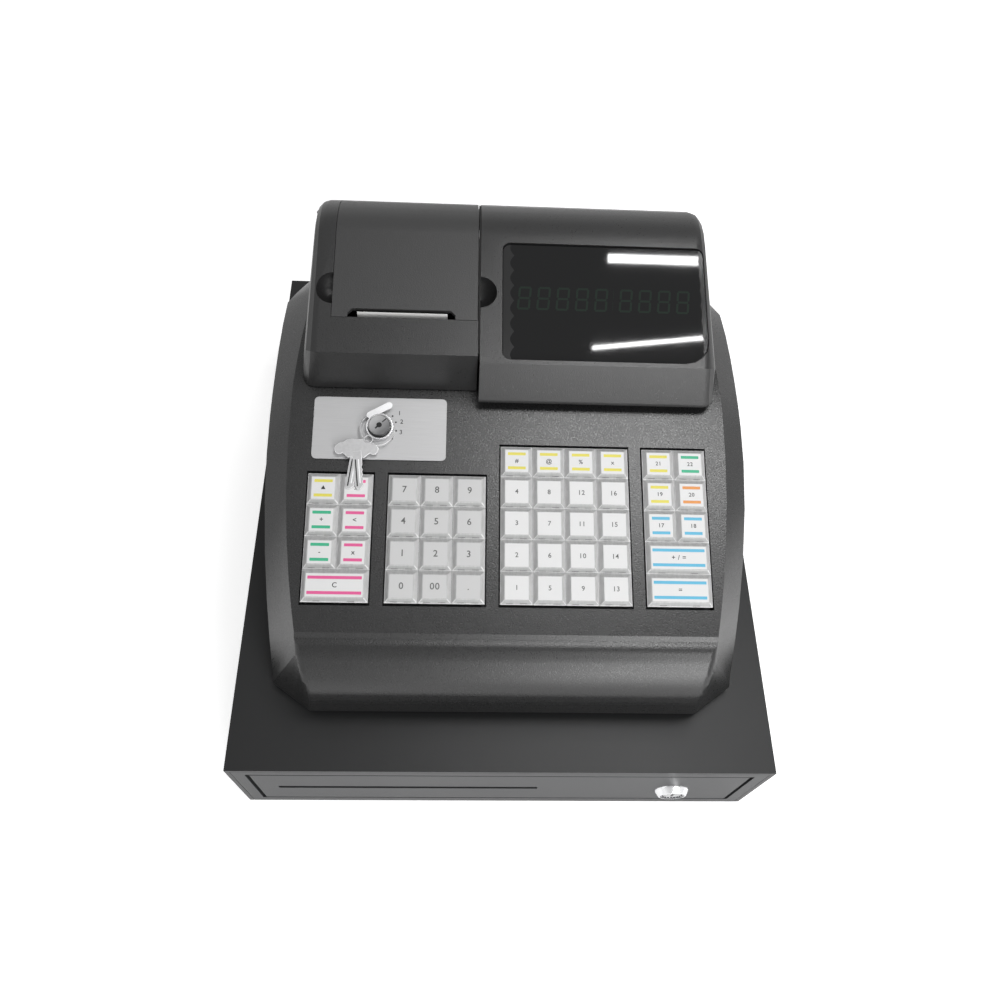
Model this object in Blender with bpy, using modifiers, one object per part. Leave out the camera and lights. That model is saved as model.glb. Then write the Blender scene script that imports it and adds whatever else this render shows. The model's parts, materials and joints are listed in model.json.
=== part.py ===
# Ticket register: an electronic register with a receipt printer, standing on a cash drawer.
# Lengths are in metres, +Z is up and the front faces -Y.

from math import atan, cos, pi, radians, sin, sqrt

import bmesh
import bpy
from mathutils import Matrix, Vector

MM = 0.001

# Clearances shared by every piece
GAP = 0.3 * MM
OVERRUN = 4 * MM

# Cash drawer cabinet
CABINET_WIDTH = 350 * MM
CABINET_DEPTH = 405 * MM
CABINET_HEIGHT = 89 * MM
COVER_SHEET = 1.5 * MM
HEM_SHEET = 3 * MM
HEM_DEPTH = 12 * MM
FRAME_SIDE = 7.7 * MM
FRAME_TOP = 7.2 * MM
FRAME_BOTTOM = 9.5 * MM
RAIL_WEB = 2 * MM
RAIL_WEB_HEIGHT = 24 * MM
RAIL_LEDGE = 18 * MM
RAIL_LEDGE_SHEET = 2 * MM
RAIL_END_MARGIN = 12 * MM
FOOT_HEIGHT = 6 * MM
FOOT_RADIUS = 11 * MM
FOOT_NECK_RADIUS = 3.7 * MM
FOOT_HEAD_RADIUS = 4.6 * MM
FOOT_HEAD = 2 * MM
FOOT_INSET_X = 26 * MM
FOOT_INSET_Y = 30 * MM

# Drawer
DRAWER_GAP_X = 2.5 * MM
DRAWER_GAP_Z = 1.5 * MM
FRONT_SHEET = 4 * MM
PAN_SHEET = 1.5 * MM
PAN_SIDE_GAP = 6 * MM
PAN_RISE = 0.7 * MM
PAN_HEIGHT = 62 * MM
PAN_REAR_MARGIN = 20 * MM
PAN_LEDGE = 10 * MM
PAN_LEDGE_HEIGHT = 17 * MM
PAN_STOP = 14 * MM
SLIP_SLOT_MARGIN = 13.5 * MM
SLIP_SLOT_TO_LOCK = 92 * MM
SLIP_SLOT_Z = 49.5 * MM
SLIP_SLOT_HEIGHT = 5.4 * MM

# Money tray
TRAY_WALL = 2.4 * MM
TRAY_HEIGHT = 42.5 * MM
TRAY_COLUMNS = 4
COIN_ROWS = 2
COIN_CUP_LENGTH = 68 * MM
COIN_CUP_CORNER = 9 * MM
CLIP_PIN_RADIUS = 1.8 * MM
CLIP_PIN_RISE = 34 * MM
CLIP_PIN_SETBACK = 9 * MM
CLIP_PIN_INTO_WALL = 0.9 * MM
CLIP_WIDTH = 16 * MM
CLIP_SHEET = 2 * MM
CLIP_HUB_RADIUS = 3.6 * MM
CLIP_REACH = 92 * MM
CLIP_TOE = 9 * MM

# Drawer lock
DRAWER_LOCK_INSET = 44.5 * MM
DRAWER_LOCK_Z = 48 * MM
DRAWER_LOCK_RADIUS = 11.5 * MM
DRAWER_LOCK_PROUD = 5 * MM
LOCK_SLEEVE_RADIUS = 8.5 * MM
LOCK_CORE_RADIUS = 6 * MM
LOCK_CORE_SINK = 0.8 * MM
LOCK_CAM_SHEET = 3 * MM
LOCK_CAM_REACH = 13 * MM
LOCK_CAM_WIDTH = 8 * MM
KEYHOLE_WIDTH = 1.6 * MM
KEYHOLE_LENGTH = 7 * MM
KEYHOLE_DEPTH = 3.5 * MM

# Drawer latch
LATCH_PIN_RADIUS = 1.6 * MM
LATCH_WIDTH = 11 * MM
LATCH_SHEET = 3 * MM
LATCH_REACH = 18 * MM
LATCH_NOSE = 4 * MM
LATCH_EAR_SHEET = 2 * MM
LATCH_EAR_LENGTH = 9 * MM
LATCH_REAR_MARGIN = 10 * MM
LATCH_PIN_RISE = 5 * MM

# Register case
CASE_FRONT = -163 * MM
CASE_REAR = 161.5 * MM
CASE_WALL = 3 * MM
CASE_BASE_INSET = 2.2 * MM
CASE_BASE_HEIGHT = 4.4 * MM
PANEL_RISE_SHARE = 0.2355
PANEL_RISE = 94.6 * MM
PLATEAU_RISE = 5.6 * MM
FRONT_ROLL = 40 * MM
WIDEST_Y = -10 * MM
TOP_FRONT_NARROWING = 16 * MM
TOP_FRONT_REACH = 142 * MM
TOP_REAR_NARROWING = 3.3 * MM
TOP_REAR_REACH = 92 * MM
SIDE_SPREAD = 15 * MM
SIDE_FRONT_NARROWING = 6.5 * MM
SIDE_FRONT_REACH = 145 * MM
FRONT_CORNER_LENGTH = 18 * MM
FRONT_CORNER_WIDTH = 23.5 * MM
REAR_CORNER_LENGTH = 51.5 * MM
REAR_CORNER_WIDTH = 18.5 * MM
SHOULDER_DROP = 6.6 * MM
SHOULDER_Y = 45 * MM
SHOULDER_FRONT_DROP = 77 * MM
SHOULDER_FRONT_REACH = 182 * MM
SHOULDER_REAR_DROP = 13 * MM
SHOULDER_REAR_REACH = 83 * MM
LEAST_SIDE = 3 * MM
SHOULDER_FRONT_POWER_SHARE = 2.2
SHOULDER_REAR_POWER_SHARE = 2.5
CASE_STATION_SHARES = (
    0, 0.006, 0.016, 0.03, 0.055, 0.075, 0.0955, 0.13, 0.19, 0.27, 0.36, 0.45, 0.53,
    0.581, 0.64, 0.7, 0.77, 0.841, 0.88, 0.92, 0.96, 1,
)
CASE_BOSS_RADIUS = 2.5 * MM
CASE_BOSS_LOW_S = 10 * MM
CASE_BOSS_HIGH_S = 66 * MM

# Keyboard, in the panel's own frame: x across, s up the slope and h out of the panel
KEYBOARD_REAR_Y = -43 * MM
KEY_PITCH = 20.5 * MM
KEY_CAP = 19.5 * MM
KEY_LABEL = 15.2 * MM
KEY_TOP = 3 * MM
KEY_SHOULDER = 0.8 * MM
KEY_SKIRT = 4 * MM
KEY_TRAVEL = 3 * MM
KEY_STEM = 7 * MM
KEY_STEM_LENGTH = 11 * MM
KEY_CARRIER_HEIGHT = 2 * MM
KEY_CARRIER_WIDTH = 6 * MM
WELL_MARGIN_X = 0.8 * MM
WELL_MARGIN_S = 1.6 * MM
KEY_COLUMNS = 11
PANEL_SIDE_MARGIN = 28.25 * MM
KEY_BLOCK_MARGIN = 14.25 * MM
NUMBER_BLOCK_SPACE = 9.6 * MM
DEPARTMENT_BLOCK_SPACE = 9.15 * MM
GUIDE_PLATE_CLEARANCE = 0.5 * MM
GUIDE_PLATE_SHEET = 2 * MM
GUIDE_PLATE_MARGIN = 2.5 * MM

# Name plate, mode lock and its hanging keys
NAME_PLATE_SHIFT = 23.15 * MM
NAME_PLATE_RISE = 41.1 * MM
NAME_PLATE_WIDTH = 85.2 * MM
NAME_PLATE_LENGTH = 42.2 * MM
NAME_PLATE_SHEET = 0.8 * MM
NAME_PLATE_CORNER = 3 * MM
COLLAR_RADIUS = 8.7 * MM
COLLAR_HEIGHT = 4.6 * MM
MODE_LOCK_RADIUS = 7.25 * MM
MODE_LOCK_PROUD = 8 * MM
MODE_LOCK_DEPTH = 16 * MM
LOCK_REST_TURN = radians(45)
KEY_RING_RADIUS = 12.6 * MM
KEY_RING_WIRE = 0.8 * MM
KEY_BOW_WIDTH = 28 * MM
KEY_BOW_LENGTH = 13 * MM
KEY_BOW_OFFSET = 5 * MM
KEY_BLADE_WIDTH = 6 * MM
KEY_BLADE_LENGTH = 21 * MM
KEY_BLADE_INSET = 0.15 * MM
KEY_SHEET = 1.6 * MM
KEY_FAN = radians(7)
KEY_HANG_TURN = radians(43)
TAG_TURN = radians(49)
TAG_WIDTH = 6 * MM
TAG_LENGTH = 26 * MM

# Housings behind the keyboard
HOOD_FRONT = 26 * MM
HOOD_FRONT_RISE = 31.8 * MM
HOOD_ROLL = 41.7 * MM
HOOD_WALL = 2.8 * MM
HOOD_CORNER = 8 * MM
HOOD_SIDE_MARGIN = 6.4 * MM
HOOD_SPREAD = 5.1 * MM
HOOD_DECK = 6.5 * MM
HOOD_ROLL_SHARES = (0, 0.14, 0.28, 0.42, 0.56, 0.7, 0.85, 1)
PRINTER_FRONT_LEAN = 3.5 * MM
HOUSING_SEAM = 1.3 * MM
DISPLAY_LIP_FRONT = 10 * MM
DISPLAY_LIP_RISE = 7.4 * MM
DISPLAY_LIP_EDGE = 3 * MM
DISPLAY_NECK = 8 * MM
DISPLAY_FACE_TOP_Y = 21.5 * MM
DISPLAY_CAVITY_FRONT = 27 * MM
WINDOW_LEFT_MARGIN = 14.2 * MM
WINDOW_SIDE_MARGIN = 3.5 * MM
WINDOW_START = -1.5 * MM
WINDOW_END = 81 * MM
WINDOW_RECESS = 1.6 * MM
WINDOW_SHEET = 2 * MM
WINDOW_CORNER = 5 * MM
WINDOW_WIDE_CORNER = 16 * MM
WINDOW_LEDGE = 3.5 * MM
DISPLAY_BOARD_DROP = 14 * MM
DISPLAY_BOARD_SHEET = 1.6 * MM
DISPLAY_BOARD_LENGTH = 60 * MM
DISPLAY_MODULE_HEIGHT = 6 * MM
DISPLAY_MODULE_MARGIN = 10 * MM
DISPLAY_MODULE_LENGTH = 30 * MM
DISPLAY_BOARD_INSET = 4 * MM
DISPLAY_LEG = 5 * MM
SCOOP_RADIUS = 11.3 * MM
SCOOP_WALL = 2.4 * MM
SCOOP_SHIFT = 0.9 * MM
SCOOP_Y = 69 * MM
SCOOP_RISE = 2.5 * MM

# Printer cover and what lies under it
COVER_SIDE_MARGIN = 15.5 * MM
COVER_SEAM = 0.5 * MM
COVER_FRONT = 50 * MM
COVER_SHELL = 2.4 * MM
COVER_PIN_RADIUS = 1.9 * MM
COVER_PIN_LENGTH = 2 * MM
COVER_HUB_RADIUS = 3.5 * MM
SLOT_LEFT_MARGIN = 10 * MM
SLOT_RIGHT_MARGIN = 14 * MM
SLOT_DEPTH = 6 * MM
SLOT_CHAMFER = 3 * MM
SLOT_RIM = 2 * MM
BAY_RIM = 3 * MM
PAPER_WIDTH = 57 * MM
PAPER_LEFT_MARGIN = 6 * MM
PAPER_RIGHT_MARGIN = 5 * MM
PAPER_SHEET = 0.4 * MM
PAPER_Y = 53.4 * MM
PAPER_RISE = 6.5 * MM
ROLL_RADIUS = 35 * MM
ROLL_CORE_RADIUS = 6 * MM
ROLL_Y = 110 * MM
ROLL_RISE = 5.8 * MM
TROUGH_WALL = 2.4 * MM
TROUGH_RIM_TURN = radians(5)
TROUGH_STEPS = 16
FLANGE_FRONT = 30 * MM
FLANGE_SHEET = 3 * MM
HEAD_FRONT = 46 * MM
HEAD_REAR = 66 * MM
HEAD_DROP = 8 * MM
HEAD_SLOT_DEPTH = 6 * MM
BAY_FRONT = 36 * MM
BAY_REAR = 150 * MM
BAY_SIDE = 6 * MM

# Main board and power inlet
BOARD_LIFT = 6 * MM
BOARD_SHEET = 1.6 * MM
BOARD_HALF_WIDTH = 105 * MM
BOARD_FRONT = 10 * MM
BOARD_BOSS_RADIUS = 4 * MM
BOARD_BOSS_INSET = 9 * MM
BOARD_PART_HEIGHT = 9 * MM
BOARD_PART_WIDTH = 34 * MM
BOARD_PART_DEPTH = 26 * MM
INLET_X = 76 * MM
INLET_WIDTH = 26 * MM
INLET_HEIGHT = 16 * MM
INLET_DEPTH = 24 * MM
INLET_WALL = 2.5 * MM
INLET_SOCKET_DEPTH = 12 * MM
INLET_PIN_RADIUS = 1.4 * MM
INLET_PIN_SPACING = 8.6 * MM
INLET_PIN_LENGTH = 9 * MM

# Places worked out from the sizes above
FRONT_Y = DRAWER_LOCK_PROUD - (CABINET_DEPTH + DRAWER_LOCK_PROUD) / 2
REAR_Y = FRONT_Y + CABINET_DEPTH
HALF_WIDTH = CABINET_WIDTH / 2
CABINET_TOP = FOOT_HEIGHT + CABINET_HEIGHT
CABINET_INNER_TOP = CABINET_TOP - COVER_SHEET
CABINET_FLOOR = FOOT_HEIGHT + COVER_SHEET
FRAME_HALF_WIDTH = HALF_WIDTH - HEM_SHEET - GAP
FRAME_HIGH = CABINET_TOP - HEM_SHEET - GAP
OPENING_HALF_WIDTH = FRAME_HALF_WIDTH - FRAME_SIDE
OPENING_LOW = FOOT_HEIGHT + FRAME_BOTTOM
OPENING_HIGH = FRAME_HIGH - FRAME_TOP
DRAWER_HALF_WIDTH = OPENING_HALF_WIDTH - DRAWER_GAP_X
DRAWER_LOW = OPENING_LOW + DRAWER_GAP_Z
DRAWER_HIGH = OPENING_HIGH - DRAWER_GAP_Z
DRAWER_LOCK_X = DRAWER_HALF_WIDTH - DRAWER_LOCK_INSET
SLIP_SLOT_LEFT = SLIP_SLOT_MARGIN - DRAWER_HALF_WIDTH
SLIP_SLOT_RIGHT = DRAWER_LOCK_X - SLIP_SLOT_TO_LOCK
PAN_HALF_WIDTH = OPENING_HALF_WIDTH - PAN_SIDE_GAP
PAN_LOW = OPENING_LOW + GAP + PAN_RISE + DRAWER_GAP_Z
PAN_FRONT = FRONT_Y + FRONT_SHEET + GAP
PAN_REAR = REAR_Y - PAN_REAR_MARGIN
LEDGE_Z = PAN_LOW + PAN_LEDGE_HEIGHT
TRAY_LOW = LEDGE_Z + GAP
TRAY_HIGH = TRAY_LOW + TRAY_HEIGHT
TRAY_HALF_WIDTH = PAN_HALF_WIDTH - PAN_SHEET - GAP
TRAY_FRONT = PAN_FRONT + PAN_SHEET + PAN_STOP + GAP
TRAY_REAR = PAN_REAR - PAN_SHEET - GAP
TRAY_PITCH = (2 * TRAY_HALF_WIDTH - TRAY_WALL) / TRAY_COLUMNS
BILL_FRONT = TRAY_FRONT + TRAY_WALL + COIN_ROWS * (COIN_CUP_LENGTH + TRAY_WALL)
CLIP_Y = TRAY_REAR - TRAY_WALL - CLIP_PIN_SETBACK
CLIP_Z = TRAY_LOW + CLIP_PIN_RISE
LATCH_Y = REAR_Y - COVER_SHEET - LATCH_REAR_MARGIN
LATCH_Z = CABINET_FLOOR + LATCH_PIN_RISE
CASE_BASE_LOW = CABINET_TOP + GAP
CASE_LOW = CASE_BASE_LOW + CASE_BASE_HEIGHT + GAP
CASE_LENGTH = CASE_REAR - CASE_FRONT
PANEL_HEIGHT = CABINET_TOP + PANEL_RISE
PLATEAU_HEIGHT = PANEL_HEIGHT + PLATEAU_RISE
SHOULDER_HEIGHT = PANEL_HEIGHT - SHOULDER_DROP
HOOD_FRONT_HEIGHT = PLATEAU_HEIGHT + HOOD_FRONT_RISE
PAPER_TOP = HOOD_FRONT_HEIGHT + PAPER_RISE
HEAD_TOP = HOOD_FRONT_HEIGHT - HEAD_DROP
ROLL_Z = PLATEAU_HEIGHT + ROLL_RISE
TOP_HALF_WIDTH = KEY_COLUMNS * KEY_PITCH / 2 + PANEL_SIDE_MARGIN
SIDE_HALF_WIDTH = TOP_HALF_WIDTH + SIDE_SPREAD
RIGHT_BLOCK_X = TOP_HALF_WIDTH - KEY_BLOCK_MARGIN - KEY_PITCH
LEFT_BLOCK_X = -RIGHT_BLOCK_X
NUMBER_BLOCK_X = LEFT_BLOCK_X + 2.5 * KEY_PITCH + NUMBER_BLOCK_SPACE
DEPARTMENT_BLOCK_X = RIGHT_BLOCK_X - 3 * KEY_PITCH - DEPARTMENT_BLOCK_SPACE
NAME_PLATE_X = LEFT_BLOCK_X + NAME_PLATE_SHIFT
NAME_PLATE_S = 3 * KEY_PITCH + NAME_PLATE_RISE
KEYBOARD_Y = KEYBOARD_REAR_Y - 3 * KEY_PITCH
HOOD_BASE_HALF_WIDTH = TOP_HALF_WIDTH - HOOD_SIDE_MARGIN
HOOD_TOP_HALF_WIDTH = HOOD_BASE_HALF_WIDTH - HOOD_SPREAD
COVER_LEFT = COVER_SIDE_MARGIN - HOOD_TOP_HALF_WIDTH
LEFT_SCOOP_X = COVER_LEFT
SLOT_LEFT = COVER_LEFT + SLOT_LEFT_MARGIN
PAPER_LEFT = SLOT_LEFT + PAPER_LEFT_MARGIN
PAPER_RIGHT = PAPER_LEFT + PAPER_WIDTH
SLOT_RIGHT = PAPER_RIGHT + PAPER_RIGHT_MARGIN
COVER_RIGHT = SLOT_RIGHT + SLOT_RIGHT_MARGIN
PRINTER_RIGHT = COVER_RIGHT + COVER_SEAM
DISPLAY_LEFT = PRINTER_RIGHT + HOUSING_SEAM
RIGHT_SCOOP_X = PRINTER_RIGHT + SCOOP_SHIFT
WINDOW_LEFT = DISPLAY_LEFT + WINDOW_LEFT_MARGIN
WINDOW_RIGHT = HOOD_TOP_HALF_WIDTH - WINDOW_SIDE_MARGIN
SLOPE = atan(PANEL_RISE_SHARE)
ROLL_CENTRE_Y = CASE_FRONT + FRONT_ROLL
ROLL_CENTRE_Z = PANEL_HEIGHT + PANEL_RISE_SHARE * ROLL_CENTRE_Y - FRONT_ROLL / cos(SLOPE)
KEYBOARD_Z = PANEL_HEIGHT + PANEL_RISE_SHARE * KEYBOARD_Y
PANEL = Matrix.Translation((0, KEYBOARD_Y, KEYBOARD_Z)) @ Matrix.Rotation(SLOPE, 4, "X")
GUIDE_PLATE_DEPTH = KEY_SKIRT + KEY_CARRIER_HEIGHT + KEY_TRAVEL + GUIDE_PLATE_CLEARANCE
DISPLAY_LIP_HEIGHT = PANEL_HEIGHT + PANEL_RISE_SHARE * DISPLAY_LIP_FRONT + DISPLAY_LIP_RISE
HOOD_CENTRE_Y = CASE_REAR - HOOD_ROLL
HOOD_CENTRE_Z = (
    HOOD_FRONT_HEIGHT + PANEL_RISE_SHARE * (HOOD_CENTRE_Y - HOOD_FRONT) - HOOD_ROLL / cos(SLOPE)
)
COVER_HINGE_Y = CASE_REAR - COVER_HUB_RADIUS
COVER_HINGE_Z = HOOD_CENTRE_Z
ROOF = Matrix.Translation((0, HOOD_FRONT, HOOD_FRONT_HEIGHT)) @ Matrix.Rotation(SLOPE, 4, "X")

# Roundness of turned pieces
ROUND_STEPS = 32
SMALL_ROUND_STEPS = 16
CORNER_STEPS = 4
WELD = 0.001 * MM
FLAT_ANGLE = radians(0.5)

# Colour, roughness and metallic value of each finish
FINISHES = {
    "case_plastic": ((0.045, 0.045, 0.048), 0.55, 0),
    "hood_plastic": ((0.035, 0.035, 0.038), 0.5, 0),
    "cabinet_paint": ((0.05, 0.052, 0.056), 0.6, 0),
    "front_paint": ((0.075, 0.077, 0.082), 0.55, 0),
    "bare_steel": ((0.55, 0.55, 0.56), 0.4, 1),
    "bright_chrome": ((0.8, 0.8, 0.82), 0.15, 1),
    "brushed_plate": ((0.62, 0.62, 0.63), 0.35, 1),
    "black_rubber": ((0.02, 0.02, 0.02), 0.85, 0),
    "tray_plastic": ((0.03, 0.03, 0.032), 0.6, 0),
    "inner_plastic": ((0.06, 0.06, 0.06), 0.6, 0),
    "window_gloss": ((0.008, 0.008, 0.01), 0.08, 0),
    "board_green": ((0.02, 0.16, 0.07), 0.5, 0),
    "paper_white": ((0.86, 0.86, 0.84), 0.8, 0),
    "key_grey": ((0.62, 0.62, 0.64), 0.35, 0),
    "key_clear": ((0.8, 0.8, 0.82), 0.3, 0),
    "lock_metal": ((0.2, 0.2, 0.21), 0.35, 1),
}


# Scene and material
def clear_scene():
    for old in list(bpy.data.objects):
        bpy.data.objects.remove(old, do_unlink=True)


def new_collection(name, hidden):
    group = bpy.data.collections.new(name)
    group.hide_render = hidden
    bpy.context.scene.collection.children.link(group)
    return group


def finish(piece, kind):
    colour, roughness, metallic = FINISHES[kind]
    surface = bpy.data.materials.new(piece.name + "_" + kind)
    surface.use_nodes = True
    shader = surface.node_tree.nodes["Principled BSDF"]
    shader.inputs["Base Color"].default_value = (*colour, 1)
    shader.inputs["Roughness"].default_value = roughness
    shader.inputs["Metallic"].default_value = metallic
    surface.diffuse_color = (*colour, 1)
    piece.data.materials.clear()
    piece.data.materials.append(surface)
    return piece


# Solids that the pieces are made from
def new_piece(name, work, place=None):
    bmesh.ops.recalc_face_normals(work, faces=work.faces)
    mesh = bpy.data.meshes.new(name)
    work.to_mesh(mesh)
    work.free()
    piece = bpy.data.objects.new(name, mesh)
    part_pieces.objects.link(piece)
    if place is not None:
        piece.matrix_world = place
    return piece


def add_block(work, low, high):
    low = Vector(low)
    high = Vector(high)
    size = Matrix.Diagonal((*(high - low), 1))
    bmesh.ops.create_cube(work, size=1, matrix=Matrix.Translation((low + high) / 2) @ size)


def blocks(name, spans, place=None):
    work = bmesh.new()
    for low, high in spans:
        add_block(work, low, high)
    return new_piece(name, work, place)


def block(name, low, high, place=None):
    return blocks(name, [(low, high)], place)


def add_rod(work, start, end, radius, steps):
    start = Vector(start)
    end = Vector(end)
    along = end - start
    turn = along.to_track_quat("Z", "Y").to_matrix().to_4x4()
    place = Matrix.Translation((start + end) / 2) @ turn
    bmesh.ops.create_cone(
        work, cap_ends=True, segments=steps, radius1=radius, radius2=radius, depth=along.length, matrix=place
    )


def rods(name, spans, steps=ROUND_STEPS, place=None):
    work = bmesh.new()
    for start, end, radius in spans:
        add_rod(work, start, end, radius, steps)
    return new_piece(name, work, place)


def rod(name, start, end, radius, steps=ROUND_STEPS, place=None):
    return rods(name, [(start, end, radius)], steps, place)


def ball(name, centre, radius, place=None):
    work = bmesh.new()
    bmesh.ops.create_uvsphere(
        work,
        u_segments=ROUND_STEPS,
        v_segments=SMALL_ROUND_STEPS,
        radius=radius,
        matrix=Matrix.Translation(centre),
    )
    return new_piece(name, work, place)


def turned(name, profile, place, steps=SMALL_ROUND_STEPS):
    # A profile of radius and height, from top to bottom, turned about its own Z.
    mesh = bpy.data.meshes.new(name)
    points = [(radius, 0, height) for radius, height in profile]
    mesh.from_pydata(points, [(spot, spot + 1) for spot in range(len(points) - 1)], [])
    piece = bpy.data.objects.new(name, mesh)
    part_pieces.objects.link(piece)
    piece.matrix_world = place
    screw = piece.modifiers.new("turn", "SCREW")
    screw.axis = "Z"
    screw.angle = 2 * pi
    screw.steps = steps
    screw.render_steps = steps
    screw.use_merge_vertices = True
    screw.merge_threshold = WELD
    screw.use_smooth_shade = True
    return piece


def outline_work(points, thickness, place):
    # A closed outline filled flat and given a thickness, as a mesh ready for more work.
    curve = bpy.data.curves.new("outline", "CURVE")
    curve.dimensions = "2D"
    curve.fill_mode = "BOTH"
    curve.extrude = thickness / 2
    line = curve.splines.new("POLY")
    line.points.add(len(points) - 1)
    for spot, (across, along) in zip(line.points, points):
        spot.co = (across, along, 0, 1)
    line.use_cyclic_u = True
    drawn = bpy.data.objects.new("outline", curve)
    mesh = bpy.data.meshes.new_from_object(drawn)
    work = bmesh.new()
    work.from_mesh(mesh)
    bpy.data.objects.remove(drawn)
    bpy.data.curves.remove(curve)
    bpy.data.meshes.remove(mesh)
    bmesh.ops.remove_doubles(work, verts=work.verts, dist=WELD)
    bmesh.ops.dissolve_limit(work, angle_limit=FLAT_ANGLE, verts=work.verts, edges=work.edges)
    bmesh.ops.transform(work, matrix=place, verts=work.verts)
    return work


def level_plate(name, points, low, high, place=None):
    lift = Matrix.Translation((0, 0, (low + high) / 2))
    return new_piece(name, outline_work(points, high - low, lift), place)


def upright_work(points, left, right):
    # An outline in Y and Z, as thick as the stretch of X from left to right.
    turn = Matrix(((0, 0, 1, 0), (1, 0, 0, 0), (0, 1, 0, 0), (0, 0, 0, 1)))
    return outline_work(points, right - left, Matrix.Translation(((left + right) / 2, 0, 0)) @ turn)


def upright_plate(name, points, left, right):
    return new_piece(name, upright_work(points, left, right))


def arc(centre, radius, start, end, steps):
    turns = [start + (end - start) * step / steps for step in range(steps + 1)]
    return [(centre[0] + radius * cos(turn), centre[1] + radius * sin(turn)) for turn in turns]


def rounded(low, high, corners, steps=CORNER_STEPS):
    # A rectangle with its corner radii in this order: right rear, left rear, left front, right front.
    points = []
    sides = ((high[0], high[1], -1, -1), (low[0], high[1], 1, -1), (low[0], low[1], 1, 1), (high[0], low[1], -1, 1))
    for quarter, (corner, (x, y, inward_x, inward_y)) in enumerate(zip(corners, sides)):
        middle = (x + inward_x * corner, y + inward_y * corner)
        points += arc(middle, corner, quarter * pi / 2, (quarter + 1) * pi / 2, steps)
    return points


def boolean(piece, tools, kind):
    for tool in tools:
        part_pieces.objects.unlink(tool)
        cutter_pieces.objects.link(tool)
        tool.hide_render = True
        tool.display_type = "WIRE"
        step = piece.modifiers.new(tool.name, "BOOLEAN")
        step.operation = kind
        step.solver = "EXACT"
        step.object = tool
    return piece


def cut(piece, *tools):
    return boolean(piece, tools, "DIFFERENCE")


def fuse(piece, *tools):
    return boolean(piece, tools, "UNION")


def put_origin(piece, point):
    point = Vector(point)
    piece.data.transform(Matrix.Translation(-point))
    piece.location = piece.location + point
    return piece


# Cash drawer cabinet
def make_cabinet_cover():
    cover = block("cabinet_cover", (-HALF_WIDTH, FRONT_Y, FOOT_HEIGHT), (HALF_WIDTH, REAR_Y, CABINET_TOP))
    inner = HALF_WIDTH - COVER_SHEET
    hollow = block(
        "cabinet_hollow",
        (-inner, FRONT_Y + HEM_DEPTH + GAP, CABINET_FLOOR),
        (inner, REAR_Y - COVER_SHEET, CABINET_INNER_TOP),
    )
    mouth = block(
        "cabinet_mouth",
        (HEM_SHEET - HALF_WIDTH, FRONT_Y - OVERRUN, FOOT_HEIGHT - OVERRUN),
        (HALF_WIDTH - HEM_SHEET, FRONT_Y + HEM_DEPTH + 2 * GAP, CABINET_TOP - HEM_SHEET),
    )
    neck = FOOT_NECK_RADIUS + GAP
    holes = rods(
        "foot_holes",
        [((x, y, FOOT_HEIGHT - OVERRUN), (x, y, CABINET_FLOOR + OVERRUN), neck) for x, y in foot_places()],
    )
    ears = make_latch_ears()
    cut(cover, mouth, hollow, holes)
    fuse(cover, ears)
    return finish(cover, "cabinet_paint")


def make_latch_ears():
    spans = []
    inner = LATCH_WIDTH / 2 + GAP
    for side in (-1, 1):
        edges = sorted((side * inner, side * (inner + LATCH_EAR_SHEET)))
        low = (edges[0], LATCH_Y - LATCH_EAR_LENGTH / 2, CABINET_FLOOR - COVER_SHEET / 2)
        high = (edges[1], LATCH_Y + LATCH_EAR_LENGTH / 2, LATCH_Z + LATCH_PIN_RADIUS + LATCH_EAR_SHEET)
        spans.append((low, high))
    ears = blocks("latch_ears", spans)
    reach = inner + LATCH_EAR_SHEET + OVERRUN
    bore = rod("latch_bore", (-reach, LATCH_Y, LATCH_Z), (reach, LATCH_Y, LATCH_Z), LATCH_PIN_RADIUS + GAP)
    return cut(ears, bore)


def make_cabinet_frame():
    back = FRONT_Y + HEM_DEPTH
    ring = block(
        "cabinet_frame", (-FRAME_HALF_WIDTH, FRONT_Y, FOOT_HEIGHT), (FRAME_HALF_WIDTH, back, FRAME_HIGH)
    )
    opening = block(
        "frame_opening",
        (-OPENING_HALF_WIDTH, FRONT_Y - OVERRUN, OPENING_LOW),
        (OPENING_HALF_WIDTH, back + OVERRUN, OPENING_HIGH),
    )
    cut(ring, opening)
    ledge_top = PAN_LOW - GAP
    rail_end = REAR_Y - COVER_SHEET - RAIL_END_MARGIN
    for side in (-1, 1):
        outer = FRAME_HALF_WIDTH - GAP
        web = sorted((side * outer, side * (outer - RAIL_WEB)))
        ledge = sorted((side * (outer - RAIL_WEB / 2), side * (FRAME_HALF_WIDTH - RAIL_LEDGE)))
        start = back - HEM_DEPTH / 4
        rail = block(
            "rail_web",
            (web[0], start, CABINET_FLOOR + GAP),
            (web[1], rail_end, ledge_top + RAIL_WEB_HEIGHT),
        )
        shelf = block(
            "rail_ledge",
            (ledge[0], back + GAP, ledge_top - RAIL_LEDGE_SHEET),
            (ledge[1], rail_end - GAP, ledge_top),
        )
        fuse(ring, rail, shelf)
    return finish(ring, "front_paint")


def foot_places():
    front = FRONT_Y + FOOT_INSET_Y
    rear = REAR_Y - FOOT_INSET_Y
    side = HALF_WIDTH - FOOT_INSET_X
    return [(-side, front), (side, front), (-side, rear), (side, rear)]


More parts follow.
